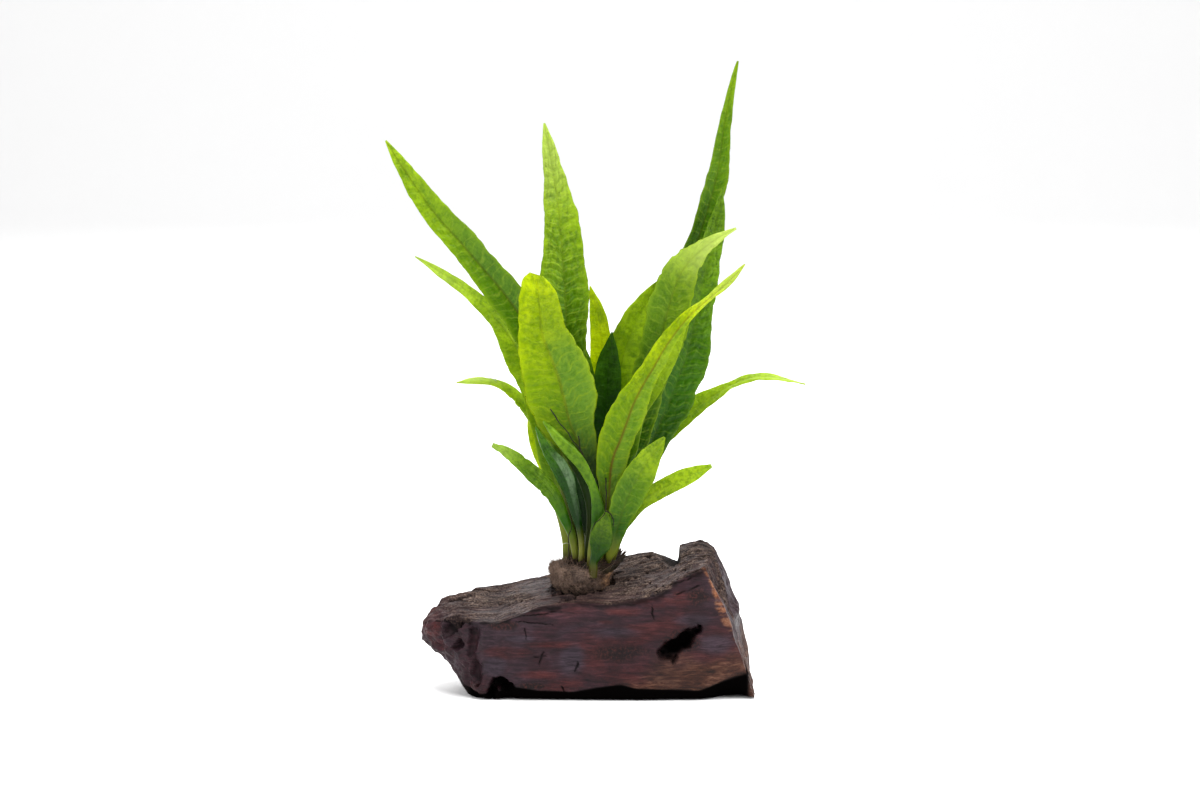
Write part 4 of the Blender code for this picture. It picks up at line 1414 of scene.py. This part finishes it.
@dataclass
class RootMat:
    """The felted plug of roots that is wedged in the wood, and its fibres."""

    node: str = "root_mat"
    centre: Point = (-5.6, -2.5, 43.5)
    across: float = 11.8
    front: float = 14.4
    heap: float = 2.6
    depth: float = 13.0
    lump: float = 0.05
    sides: int = 240
    rows: int = 120
    pits: tuple[tuple[Point, Point], ...] = (
        ((-9.0, -14.5, 36.6), (2.6, 4.0, 2.2)), ((3.4, -12.5, 45.5), (2.4, 3.0, 3.0)))
    fibres: int = 6000
    fibre_points: int = 5

    def shell(self, turn: np.ndarray, rise: np.ndarray, grow: float = 0.0) -> np.ndarray:
        """Place points on the mat, a bowl with a low heap on it.

        A power of 1.5 on the cosine of the rise draws in the bowl.  Each
        radius is stretched by three and five lumps to a turn, less towards
        the poles.

        Args:
            turn: angle round the upright axis.
            rise: angle above the rim.
            grow: how far outside the mat.

        Returns:
            The points.
        """
        level = np.cos(rise) ** np.where(rise > 0.0, 1.0, 1.5)
        lump = 1 + self.lump * level * (np.sin(3 * turn + 0.7) + 0.6 * np.sin(5 * turn + 2))
        tall = np.where(rise > 0.0, self.heap, self.depth) + grow
        ball = np.stack([level * np.cos(turn) * lump * (self.across + grow),
                         level * np.sin(turn) * lump * (self.front + grow),
                         np.sin(rise) * tall], axis=-1)
        return np.array(self.centre) + ball

    def build_body(self) -> Surface:
        """Make the felted body: the bowl and its heap, crumbled by noise and pitted.

        Returns:
            The felt's closed surface.
        """
        turn = np.linspace(0, 2 * math.pi, self.sides, endpoint=False)[None, :]
        rise = np.linspace(-1.5, 1.5, self.rows)[:, None]
        rings = self.shell(turn + 0 * rise, rise + 0 * turn)
        noise = Noise(77)
        outward = unit(rings - np.array(self.centre))
        lump = noise.layers(rings / 6.5 + 4.4, 3)
        crumb = 0.7 * noise.layers(rings / 2.4, 4) + 0.4 * np.abs(noise.at(rings / 0.9))
        pit = np.max([np.exp(-(((rings - middle) / radii) ** 2).sum(axis=-1))
                      for middle, radii in self.pits], axis=0)
        swell = 1.8 * lump + crumb - 0.9 - 3.0 * pit
        # Painted shade: the pits and low spots of the felt are painted black.
        pit_shade = np.clip(1.4 * pit + smooth_step(-lump, 0.35, 0.8), 0.0, 1.0)
        tan = smooth_step(rings[..., 0] + 1.5 * crumb, 1.0, 5.5)
        return closed_tube(rings + swell[..., None] * outward, {"tan": tan, "pit_shade": pit_shade})

    def build_fibres(self) -> Surface:
        """Grow short curled roots all over the mat, but for its bottom.

        A root starts just under the felt, leaves it at a low angle in a
        random direction, and curls as the square of its length.

        Returns:
            All roots as one surface.
        """
        draw = np.random.default_rng(5)
        turn = draw.uniform(0, 2 * math.pi, self.fibres)
        rise = np.arcsin(draw.uniform(-0.65, 0.98, self.fibres))
        start = self.shell(turn, rise, -0.5)
        out = unit(start - np.array(self.centre))
        sideways = unit(np.cross(out, draw.normal(size=(self.fibres, 3))))
        curl = unit(draw.normal(size=(self.fibres, 3)) - 0.6 * out)
        length = draw.gamma(2.0, 0.5, self.fibres)[:, None, None] + 0.5
        t = np.linspace(0.0, 1.0, self.fibre_points)[None, :, None]
        lift = draw.uniform(0.05, 0.45, (self.fibres, 1, 1))
        paths = (start[:, None] + length * (t * (sideways[:, None] + lift * out[:, None])
                                            + 0.55 * t ** 2 * curl[:, None]))
        thick = draw.uniform(0.04, 0.10, (self.fibres, 1))
        radii = thick * (1.0 - 0.7 * t[..., 0])
        paths[..., 2] = np.maximum(paths[..., 2], 30.0)
        return many_tubes(paths, radii, 3)

    def dress(self) -> None:
        """Make the mat and its fibres and settle them."""
        felt = FibreFinish("roots", "#1c1311", "#6d5b50")
        hair = FibreFinish("roots", "#33261f", "#957c6c")
        settle(self.build_body().to_object("root_mat_felt"), felt.make_felt("root_felt"),
               felt.slot, self.node)
        settle(self.build_fibres().to_object("root_mat_fibres", smooth=False),
               hair.make("root_hair"), hair.slot)


@dataclass
class Rhizome:
    """A stretch of the creeping stem, with the brown scales that clothe it."""

    node: str
    route: tuple[Station, ...]
    seed: int
    curve_steps: int = 16
    rows: int = 110
    sides: int = 40
    scales: int = 150
    scale_rows: int = 60

    def build_stem(self) -> Surface:
        """Carry a knobbly ring along the route; each row is x, y, z, radius.

        Returns:
            The stem's closed surface.
        """
        curve = catmull_rom(np.array(self.route), self.curve_steps)
        rows = evenly_along(curve, self.rows)
        spine, radius = rows[:, :3], rows[:, 3]
        tangent = unit(np.gradient(spine, axis=0))
        across = unit(np.cross(tangent, (0.0, 0.0, 1.0)))
        above = np.cross(across, tangent)
        turn = np.linspace(0, 2 * math.pi, self.sides, endpoint=False)
        ring = (np.cos(turn)[None, :, None] * across[:, None]
                + np.sin(turn)[None, :, None] * above[:, None])
        noise = Noise(300 + self.seed)
        skin = spine[:, None] + radius[:, None, None] * ring
        taper = np.sqrt(np.sin(np.linspace(0.12, math.pi - 0.12, self.rows)))[:, None]
        knob = 0.35 * noise.layers(skin / 2.2, 3)
        return closed_tube(spine[:, None] + (radius[:, None] * (0.55 + 0.45 * taper)
                                             + knob)[..., None] * ring)

    def build_scales(self) -> Surface:
        """Lay thin pointed scales along the stem, all towards its tip.

        Returns:
            All scales as one surface.
        """
        draw = np.random.default_rng(60 + self.seed)
        curve = catmull_rom(np.array(self.route), self.curve_steps)
        rows = evenly_along(curve, self.scale_rows)
        tangent = unit(np.gradient(rows[:, :3], axis=0))
        at = draw.integers(2, self.scale_rows - 2, self.scales)
        across = unit(np.cross(tangent[at], (0.0, 0.0, 1.0)))
        above = np.cross(across, tangent[at])
        turn = draw.uniform(0.1, math.pi - 0.1, self.scales)[:, None]
        out = np.cos(turn) * across + np.sin(turn) * above
        start = rows[at, :3] + out * (rows[at, 3:4] - 0.15)
        t = np.linspace(0.0, 1.0, 5)[None, :, None]
        size = draw.uniform(1.6, 3.0, (self.scales, 1, 1))
        paths = start[:, None] + size * (t * (tangent[at][:, None] + 0.35 * out[:, None])
                                         + 0.3 * t ** 2 * out[:, None])
        radii = 0.34 * np.sin(math.pi * (0.18 + 0.8 * t[..., 0])) + 0 * size[..., 0]
        return many_tubes(paths, radii, 4)

    def dress(self, bark: bpy.types.Material, chaff: bpy.types.Material) -> None:
        """Make the stem and its scales and settle them.

        Args:
            bark: the stem's finish.
            chaff: the scales' finish.
        """
        settle(self.build_stem().to_object(f"{self.node}_stem"), bark, "rhizome", self.node)
        settle(self.build_scales().to_object(f"{self.node}_scales", smooth=False), chaff,
               "rhizome")


@dataclass
class Rootlets:
    """Dark wiry roots that climb the stems, and a few thin pale ones."""

    dark: tuple[tuple[Point, ...], ...] = (
        ((-15.9, -18.2, 103.4), (-12.9, -18.7, 98.9), (-9.9, -18.8, 95.3),
         (-7.3, -18.8, 91.2), (-5.3, -18.6, 89.2), (-3.8, -18.2, 85), (-2.3, -17.2, 81.3)),
        ((-5.8, -18, 93.7), (-5.1, -18.4, 89.1), (-4.3, -18, 87.1)),
        ((3.8, -17, 78.5), (4.1, -18, 75.5), (3.9, -19, 70.9), (3.8, -19.6, 66.8),
         (1.8, -19.4, 63.7), (-0.2, -18.4, 62.1), (-1.3, -16.5, 58.5), (-1.4, -14.5, 52)),
        ((3.8, -19.6, 66.8), (5.6, -19.2, 65.8), (6.4, -19, 63.8), (6.6, -18, 61.2)),
        ((-9, -9, 48), (-9.6, -9.8, 55), (-8.4, -11, 61), (-9.2, -12, 66)),
    )
    pale: tuple[tuple[Point, ...], ...] = (
        ((-42, 8.6, 116), (-38.5, 8.8, 112.5), (-35, 8.4, 110), (-31.5, 8, 107)),
        ((-41, 7.4, 113), (-37, 7.2, 111), (-33, 7.6, 108.5)),
        ((12.2, -10.4, 64.6), (13.4, -10.6, 63.2), (13.8, -10.4, 64.4)),
        ((-11.8, -0.6, 51.8), (-10.3, -0.6, 52.3), (-9.2, -0.4, 51.9)),
    )
    curve_steps: int = 12
    points: int = 40

    def build(self, routes: tuple[tuple[Point, ...], ...], radius: float) -> Surface:
        """Carry a thin ring along each route, which noise makes wiry.

        Args:
            routes: each rootlet's points.
            radius: at its start.

        Returns:
            All rootlets as one surface.
        """
        paths = np.stack([evenly_along(catmull_rom(np.array(route), self.curve_steps),
                                       self.points) for route in routes])
        noise = Noise(12)
        for axis in range(3):
            paths[..., axis] += 0.35 * noise.at(paths / 2.6 + 7.0 * axis)
        taper = 1.0 - 0.6 * np.linspace(0.0, 1.0, self.points)[None, :]
        return many_tubes(paths, radius * taper + np.zeros((len(routes), 1)), 6)

    def dress(self) -> None:
        """Make both kinds and settle them."""
        for name, routes, radius, shades in (
                ("rootlets_dark", self.dark, 0.24, ("#0a0603", "#24160a")),
                ("rootlets_pale", self.pale, 0.13, ("#8f9478", "#d9dcc6"))):
            finish = FibreFinish("roots", *shades, 0.6)
            settle(self.build(routes, radius).to_object(name), finish.make(name),
                   finish.slot)


# --- the studio -------------------------------------------------------------------


@dataclass
class Studio:
    """A pale sweep, soft light from above and both sides, and the camera."""

    target: Point = (0.0018, 0.0, 0.1043)
    distance: float = 1.2
    elevation: float = math.radians(7.0)
    lens: float = 100.0
    lights: tuple[tuple[str, Point, float, float], ...] = (
        ("soft_top", (0.1, -0.1, 1.3), 0.9, 24.0),
        ("soft_left", (-1.1, -0.7, 0.7), 0.7, 11.0),
        ("soft_right", (1.2, -0.5, 0.8), 0.7, 13.0),
        ("behind", (0.0, 1.0, 0.8), 1.0, 14.0),
    )

    def build_floor(self) -> None:
        """Make one surface that runs flat forwards and curves up at the back."""
        x = np.linspace(-2.5, 2.5, 9)
        bend = np.linspace(0.0, math.pi / 2, 17)
        profile = [(-2.5, 0.0), *((1.2 + math.sin(a) * 0.8, 0.8 * (1 - math.cos(a)))
                                  for a in bend), (2.0, 3.0)]
        y, z = np.array(profile).T
        grid = np.stack([x[None, :] + 0 * y[:, None], y[:, None] + 0 * x[None, :],
                         z[:, None] - 0.0004 + 0 * x[None, :]], axis=-1)
        rows, columns = grid.shape[:2]
        row, column = np.meshgrid(np.arange(rows - 1), np.arange(columns - 1), indexing="ij")
        first = (row * columns + column).ravel()
        faces = np.stack([first, first + 1, first + columns + 1, first + columns], axis=1)
        mesh = bpy.data.meshes.new("sweep")
        mesh.from_pydata(grid.reshape(-1, 3).tolist(), [], faces.tolist())
        mesh.shade_smooth()
        kit = Finish("sweep_paper")
        mesh.materials.append(kit.close(kit.solid("#f4f4f4", 0.9)))
        floor = bpy.data.objects.new("sweep", mesh)
        bpy.context.scene.collection.objects.link(floor)

    def add_light(self, name: str, place: Point, size: float, power: float) -> None:
        """Add a square soft light that looks at the plant.

        Args:
            name: the light's name.
            place: where it hangs, in metres.
            size: its side, in metres.
            power: in watts.
        """
        data = bpy.data.lights.new(name, "AREA")
        data.size = size
        data.energy = power
        light = bpy.data.objects.new(name, data)
        light.location = place
        aim = Vector(self.target) - Vector(place)
        light.rotation_euler = aim.to_track_quat("-Z", "Y").to_euler()
        bpy.context.scene.collection.objects.link(light)

    def build(self) -> None:
        """Set up the sweep, the lights, the sky and the camera."""
        self.build_floor()
        for name, place, size, power in self.lights:
            self.add_light(name, place, size, power)
        world = bpy.data.worlds.new("pale_room")
        world.use_nodes = True
        sky = world.node_tree.nodes["Background"]
        sky.inputs["Color"].default_value = (1.0, 1.0, 1.0, 1.0)
        sky.inputs["Strength"].default_value = 0.45
        bpy.context.scene.world = world
        bpy.context.scene.view_settings.view_transform = "Standard"
        data = bpy.data.cameras.new("camera")
        data.lens = self.lens
        data.sensor_width = 36.0
        camera = bpy.data.objects.new("camera", data)
        back = Vector((0.0, -math.cos(self.elevation), math.sin(self.elevation)))
        camera.location = Vector(self.target) + self.distance * back
        camera.rotation_euler = (-back).to_track_quat("-Z", "Y").to_euler()
        bpy.context.scene.collection.objects.link(camera)
        bpy.context.scene.camera = camera


# --- the plant --------------------------------------------------------------------


# Rows of x, y, z and the stem's radius, with each fork in a node of its own.
RHIZOME_ROUTES: tuple[tuple[str, tuple[Station, ...]], ...] = (
    ("rhizome", (
        (-9.5, -4.5, 44.3, 1.5), (-6, -8.8, 44.8, 2.2), (-1.5, -10.6, 44.7, 2.4),
        (3.2, -8.4, 44.7, 2.3), (5.6, -3.6, 44.9, 2.4), (7.3, 1.8, 45.2, 2.2),
        (9.6, 5.6, 46, 1.4))),
    ("rhizome_left_branch", (
        (-11.6, 1.2, 44.2, 1.4), (-7.5, 0, 44.8, 2.3), (-2.6, -2.2, 44.8, 2.2),
        (1.2, -2.1, 44.8, 1.4))),
    ("rhizome_back_branch", (
        (-10, 6.6, 44.2, 1.4), (-5.5, 6.6, 44.8, 2.2), (-0.8, 6, 44.8, 2.3),
        (2.9, 6.2, 44.8, 1.6))),
)

# Every frond, from its foot on the rhizome to its tip.
FRONDS: tuple[Frond, ...] = (
    Frond("frond_left_tall", Age.BRIGHT, (-5, -20), (0, 20), (
        (-6.5, -1, 47.8, 2.6), (-9.3, -1, 66, 4.2), (-11.5, -2, 85, 7),
        (-15, -4, 107, 9), (-21.5, -5, 127.5, 12), (-30.5, -6, 142, 12.6),
        (-41, -6, 154.5, 11.2), (-47.5, -6, 162, 10.2), (-56.5, -4, 172, 9.6),
        (-66, -2, 185, 6.4), (-74.6, 0, 197.5, 0.6)),
        quilt=0.6, rib_shift=-0.1, rib_tone=1.1, fold=0.22, sheen_side=0.6,
        vein_tone=0.45, ripeness=-0.03),
    Frond("frond_left_arching", Age.BRIGHT, (-10, -15), (0, 35), (
        (-9.9, 2, 47.8, 3.8), (-10.1, 2.4, 52.5, 3.8), (-11.3, 3, 58.5, 3.8),
        (-13.2, 3.7, 67, 4.8), (-16.3, 5, 82, 7.6), (-19.8, 5, 101.5, 10),
        (-24, 5, 113.5, 11.8), (-29, 5, 124, 10), (-36, 5, 133.5, 6.4),
        (-46.7, 5, 143.6, 4.6), (-56, 4, 150.2, 3.2), (-64.6, 3, 155.8, 0.6)),
        ripeness=0.28, painted_shade=0.0, bleach=0.4),
    Frond("frond_front_broad", Age.YELLOW, (0, -8), (0, 10), (
        (-2.8, -6.5, 47.5, 2.6), (-1.8, -7.5, 65, 2.8), (-3, -10, 79, 7.5),
        (-5.8, -12, 90, 13.5), (-8.9, -13, 98, 19.5), (-11.3, -14, 108, 24.4),
        (-13.6, -14.3, 116, 24), (-16.2, -14.5, 123, 21.8), (-18.7, -14.8, 130, 18),
        (-19.4, -15, 137, 15.4), (-19.8, -15, 143, 13.4), (-20.2, -14.8, 148, 10.4),
        (-20.8, -14.5, 151, 5)),
        quilt=0.7, rib_tone=0.5, tatter=0.02, sheen_side=1.0, vein_tone=0.6,
        painted_shade=5.0, painted_shade_top=108.0, ripeness=-0.04, aslant=0.5),
    Frond("frond_centre_tall", Age.BRIGHT, (4, 8), (0, 0), (
        (-2.5, -0.3, 47.8, 2.6), (-3.3, 1, 75, 2.6), (-5, 0.5, 92, 5.5),
        (-7.5, 0, 107, 10.6), (-9.4, -0.5, 119, 13.6), (-10.3, -1, 131, 15.2),
        (-10.6, -0.8, 141, 17.8), (-11.4, 0, 153, 16.2), (-12.6, 1, 168, 12.8),
        (-14.2, 2.5, 181, 9), (-16.5, 4, 194, 5.2), (-18.2, 5, 203.5, 0.8)),
        quilt=1.2, ruffle=0.6, ripeness=0.02, bleach=0.7, vein_tone=0.7),
    Frond("frond_back_yellow", Age.YELLOW, (0, -15), (0, 0), (
        (-0.9, 8, 47.8, 2.2), (0.6, 11.4, 73.5, 2.6), (2.3, 13.5, 95.5, 6),
        (3.2, 14.5, 113.5, 8.6), (1.9, 15.6, 128.5, 7.3), (0.5, 16, 136, 5.2),
        (-1.8, 16, 144, 0.6)), quilt=0.5, ripeness=0.2),
    Frond("frond_right_tallest", Age.BRIGHT, (12, 22), (0, 0), (
        (4.2, 3.8, 47.8, 2.6), (9.9, 6, 70.5, 2.6), (14.8, 8, 87, 3.6),
        (18.3, 8.5, 103, 6), (23.3, 9, 121, 8.4), (29.5, 9.5, 139.5, 9.2),
        (35, 9.5, 156, 8.8), (38.8, 9.5, 167, 8.4), (43.8, 10, 185, 8),
        (46.3, 10.5, 202.5, 5.4), (48.4, 11, 213.5, 3.4), (51.2, 12, 225.5, 0.5)),
        quilt=0.7, rib_tone=0.8, ruffle=0.7, ripeness=-0.24, sheen_side=-0.4,
        vein_tone=0.45),
    Frond("frond_right_dark", Age.GREEN, (16, 20), (0, 0), (
        (7, 1.9, 48.1, 2.6), (9.6, 2.8, 58.5, 3.6), (14.2, 3, 70.5, 6.8),
        (20, 2.5, 88, 12), (26, 2, 102, 16), (30, 2.5, 112, 16),
        (33.3, 3, 122, 15), (37.5, 4, 140, 11.8), (41.2, 5, 157, 8.8),
        (43.8, 5.5, 170, 5), (45.9, 6, 180.5, 0.6)),
        quilt=0.9, ruffle=0.9, vein_tone=0.5, sheen_side=-0.3, ripeness=0.12),
    Frond("frond_right_bright", Age.BRIGHT, (5, 10), (0, 20), (
        (5.1, -0.8, 48.1, 2.4), (8.4, -1.4, 60, 3.6), (12.6, -2, 80, 7),
        (19, -3, 109, 12.4), (24.3, -4, 130, 15.4), (28.2, -5, 144.5, 15.2),
        (32, -5.5, 152.5, 12.5), (37, -6, 158, 8), (43.5, -7, 163, 4),
        (50.1, -8, 166.8, 0.6)),
        quilt=0.6, ruffle=1.2, rib_tone=0.6, ripeness=-0.02, tatter=0.12,
        bleach=1.1, vein_tone=0.5, sheen_side=-0.4),
    Frond("frond_right_back", Age.BRIGHT, (8, 12), (0, 0), (
        (2.6, 7.4, 47.7, 2.2), (3.2, 9, 66.5, 2.6), (5.2, 9.5, 88, 5.4),
        (7.2, 10, 103, 10), (9.8, 10.5, 117.5, 13.5), (14, 11.5, 129.5, 12.5),
        (19, 12.5, 139, 8), (24.3, 13, 147.5, 0.6)),
        quilt=0.45, ripeness=0.2, vein_tone=0.3),
    Frond("frond_front_yellow", Age.YELLOW, (0, 10), (0, 35), (
        (1.8, -9.6, 47.8, 2.4), (2.2, -10.4, 55, 2.8), (3.2, -12, 62, 4),
        (4.3, -13.5, 68.9, 5.2), (4.7, -15, 75.5, 7), (4.9, -16.4, 81.5, 9.8),
        (6, -17.2, 87, 11.2), (8, -18, 92, 12.2), (10.3, -18.7, 98.5, 12.8),
        (12.9, -19, 105.5, 11.5), (16.3, -19, 112, 9.6), (19.8, -19, 117.7, 8),
        (24.8, -18, 126, 7), (31.9, -17, 135, 4.5), (39.3, -15, 141.5, 2.4),
        (46.9, -12, 147.6, 3), (53.3, -9, 154, 0.6)),
        quilt=0.7, ruffle=1.3, rib_tone=1.2, rib_shift=0.15, sheen_side=0.6,
        bleach=0.6, vein_tone=0.5, ripeness=0.14),
    Frond("frond_right_inner", Age.BRIGHT, (10, 15), (0, 15), (
        (3.7, -5.7, 47.9, 2.4), (5.6, -7.2, 60, 3.4), (8.4, -9, 74.4, 6),
        (11, -10.5, 87, 7.4), (14, -11.5, 101.5, 8), (20, -11.5, 113, 9.6),
        (26, -11, 122.5, 7.6), (32.5, -10, 132.5, 0.6)), quilt=0.5, painted_shade=0.8),
    Frond("frond_centre_dark", Age.DARK, (5, 10), (0, 0), (
        (1, 3.1, 47.8, 2.2), (1.8, 3.8, 60, 4.2), (2.9, 4.5, 80, 8),
        (4, 5, 102, 10.4), (4.9, 5.5, 117, 8.4), (6.1, 6, 128.3, 0.6))),
    Frond("frond_right_far", Age.BRIGHT, (10, 0), (10, 75), (
        (7.6, 5.3, 47.9, 2.2), (11.8, 8.6, 67, 2.8), (20, 11, 83, 5),
        (26, 11, 91.5, 8.5), (31.5, 10.5, 96.8, 10), (40, 10, 102.6, 8.5),
        (50.5, 9, 109, 5), (58, 8, 111.3, 4), (66, 7, 111.3, 3.6),
        (76.2, 6, 109.3, 0.5)), ripeness=0.2, ruffle=1.1, painted_shade=0.3, bleach=0.4),
    Frond("frond_right_low", Age.BRIGHT, (5, 10), (5, 40), (
        (6.6, -3.9, 48.1, 2.4), (9, -5.4, 56.5, 3), (12.2, -7.2, 62.8, 4.8),
        (16.8, -9, 68.8, 6.2), (26.8, -11, 75, 7), (34.5, -12, 78.7, 6),
        (41.8, -12, 82, 1.4)), ripeness=0.3, ruffle=0.9, painted_shade=0.2, quilt=0.4),
    Frond("frond_right_front", Age.BRIGHT, (0, 10), (0, 15), (
        (4.9, -8.8, 47.9, 2.6), (6.3, -12, 52.5, 4.4), (7.4, -13.9, 58, 6.5),
        (9, -16, 63.6, 8.6), (10.6, -18, 69, 11), (13.2, -20.2, 75.5, 11.2),
        (16.8, -22, 82, 10), (20, -23, 87.3, 7.6), (22.3, -23.5, 90.8, 5.2),
        (24.6, -23.5, 94, 0.8)),
        ripeness=0.02, quilt=0.4, painted_shade=0.0, sheen_side=-0.4, vein_tone=0.3),
    Frond("frond_left_ragged", Age.BRIGHT, (-10, -5), (0, 65), (
        (-8.5, 6.5, 47.8, 2.2), (-12.8, 8.5, 66.7, 2.2), (-17.4, 9.6, 85, 2.6),
        (-23.6, 9.8, 98, 4), (-27.9, 8.5, 103.6, 5), (-32.5, 8, 107.7, 4.5),
        (-37.9, 7, 110, 3.4), (-43.3, 6, 110.5, 3.6), (-50.1, 5, 110, 0.5)),
        ruffle=1.3, ripeness=0.3, tatter=0.9, bleach=0.6),
    Frond("frond_left_notched", Age.GREEN, (-10, 0), (0, 45), (
        (-6.9, -6.4, 47.9, 2.4), (-8.3, -7.4, 56, 3), (-10.8, -9.2, 62.5, 3.6),
        (-13.9, -11.2, 69.6, 5.2), (-17.6, -13.3, 75, 6.2), (-22.5, -15.4, 80, 6.4),
        (-30.9, -18, 87.2, 5.2), (-36.5, -19, 90.4, 2.4)),
        ruffle=1.8, ripeness=0.3, tatter=0.25, painted_shade=0.0, sheen_side=-0.5, quilt=0.9,
        vein_tone=0.6, bleach=0.3),
    Frond("frond_left_glossy", Age.DARK, (-5, -10), (0, 20), (
        (-4.9, -9.3, 47.9, 2.2), (-4.8, -10, 53, 2.2), (-5.5, -11.2, 59.2, 2.6),
        (-7, -12.7, 65.7, 3.8), (-8.6, -14, 72.1, 4.6), (-10.3, -15.5, 77.5, 6.2),
        (-13.2, -17, 83.3, 5.8), (-16.3, -18, 87.8, 4.2), (-19, -19, 92.8, 2.4),
        (-21, -19.5, 97, 0.6)),
        ruffle=1.6, quilt=1.1, sheen_side=1.1, painted_shade=0.1, vein_tone=0.5),
    Frond("frond_inner_curly", Age.GREEN, (0, -10), (0, 20), (
        (-1.8, -12.2, 47.7, 2.2), (-1.4, -13, 53, 2.2), (-0.2, -14, 58, 3.2),
        (1, -15, 62.5, 4.6), (1, -16, 67, 4.6), (0.4, -17, 71.4, 3.8),
        (-0.9, -18.6, 76, 3.2), (-2.9, -20.3, 80.4, 3.6), (-5.2, -21.7, 84.6, 4.2),
        (-8.6, -22.8, 88.7, 4.4), (-12.1, -23.6, 92.4, 3.6), (-15.1, -24.4, 96.2, 2.5),
        (-18.2, -25, 99.8, 0.6)),
        ruffle=1.8, tatter=0.2, sheen_side=-1.0, fold=0.4, painted_shade=0.4, quilt=0.7,
        ripeness=0.3),
    Frond("frond_mid_speckled", Age.GREEN, (0, -5), (0, 0), (
        (-3.4, 4.2, 47.8, 2.2), (-2.6, 6, 60, 4), (-1.8, 8, 80, 8.5),
        (-2.9, 9, 100, 11), (-4.4, 9.5, 114, 9), (-6.5, 10, 128.7, 0.6))),
    Frond("frond_left_yellow", Age.YELLOW, (-10, -10), (0, 0), (
        (-4.6, 9.4, 47.8, 2.2), (-9.5, 11.2, 60, 2.4), (-14.4, 11.6, 69.4, 3),
        (-17.4, 12.3, 76.6, 4.6), (-19.7, 13.2, 83.5, 6), (-21, 14, 90, 6.8),
        (-21.6, 14.2, 96, 6), (-22.6, 14, 105, 0.6)),
        ripeness=0.6, quilt=0.6, painted_shade=0.0, bleach=0.9),
    Frond("frond_front_small", Age.GREEN, (0, 0), (0, 5), (
        (-0.6, -15.3, 45.2, 3.2), (-0.4, -15.5, 47.9, 3), (0.6, -16.2, 50.8, 4.4),
        (1.7, -16.9, 54.2, 7.6), (2.4, -17.6, 57.9, 8), (3, -18.1, 61.1, 6.4),
        (3.8, -18.4, 64.4, 3.6), (4, -18.2, 66.9, 0.8)),
        ruffle=0.5, painted_shade=2.2, quilt=0.4, painted_shade_top=84.0, ripeness=0.15),
    Frond("frond_young", Age.DARK, (0, -5), (0, 0), (
        (0.4, -3.2, 47.5, 2.2), (-1.4, -3.7, 54, 2.8), (-3.3, -4.3, 61, 5),
        (-4.3, -5, 70, 5.8), (-5.2, -5.7, 79, 6), (-6.6, -6.4, 88, 4.6),
        (-8, -7, 97, 0.6))),
)


@dataclass
class JavaFern:
    """The plant: its rhizome, rootlets and every frond."""

    fronds: tuple[Frond, ...]

    def dress(self) -> None:
        """Build the rhizome first, then the rootlets, then the fronds."""
        bark = FibreFinish("rhizome", "#0b0805", "#2c2413", 0.7).make("rhizome_bark")
        chaff = FibreFinish("rhizome", "#0d0805", "#36261a", 0.8).make("rhizome_chaff")
        for seed, (node, route) in enumerate(RHIZOME_ROUTES):
            Rhizome(node, route, seed).dress(bark, chaff)
        Rootlets().dress()
        materials = {age: age.value.make() for age in Age}
        for seed, frond in enumerate(self.fronds, start=1):
            frond.dress(seed, materials[frond.age])


def main() -> None:
    """Build the studio, the wood, the root mat and the plant, and note the size."""
    logging.basicConfig(level=logging.INFO, format="%(name)s: %(message)s")
    Studio().build()
    Driftwood().dress()
    RootMat().dress()
    JavaFern(FRONDS).dress()


if __name__ == "__main__":
    main()
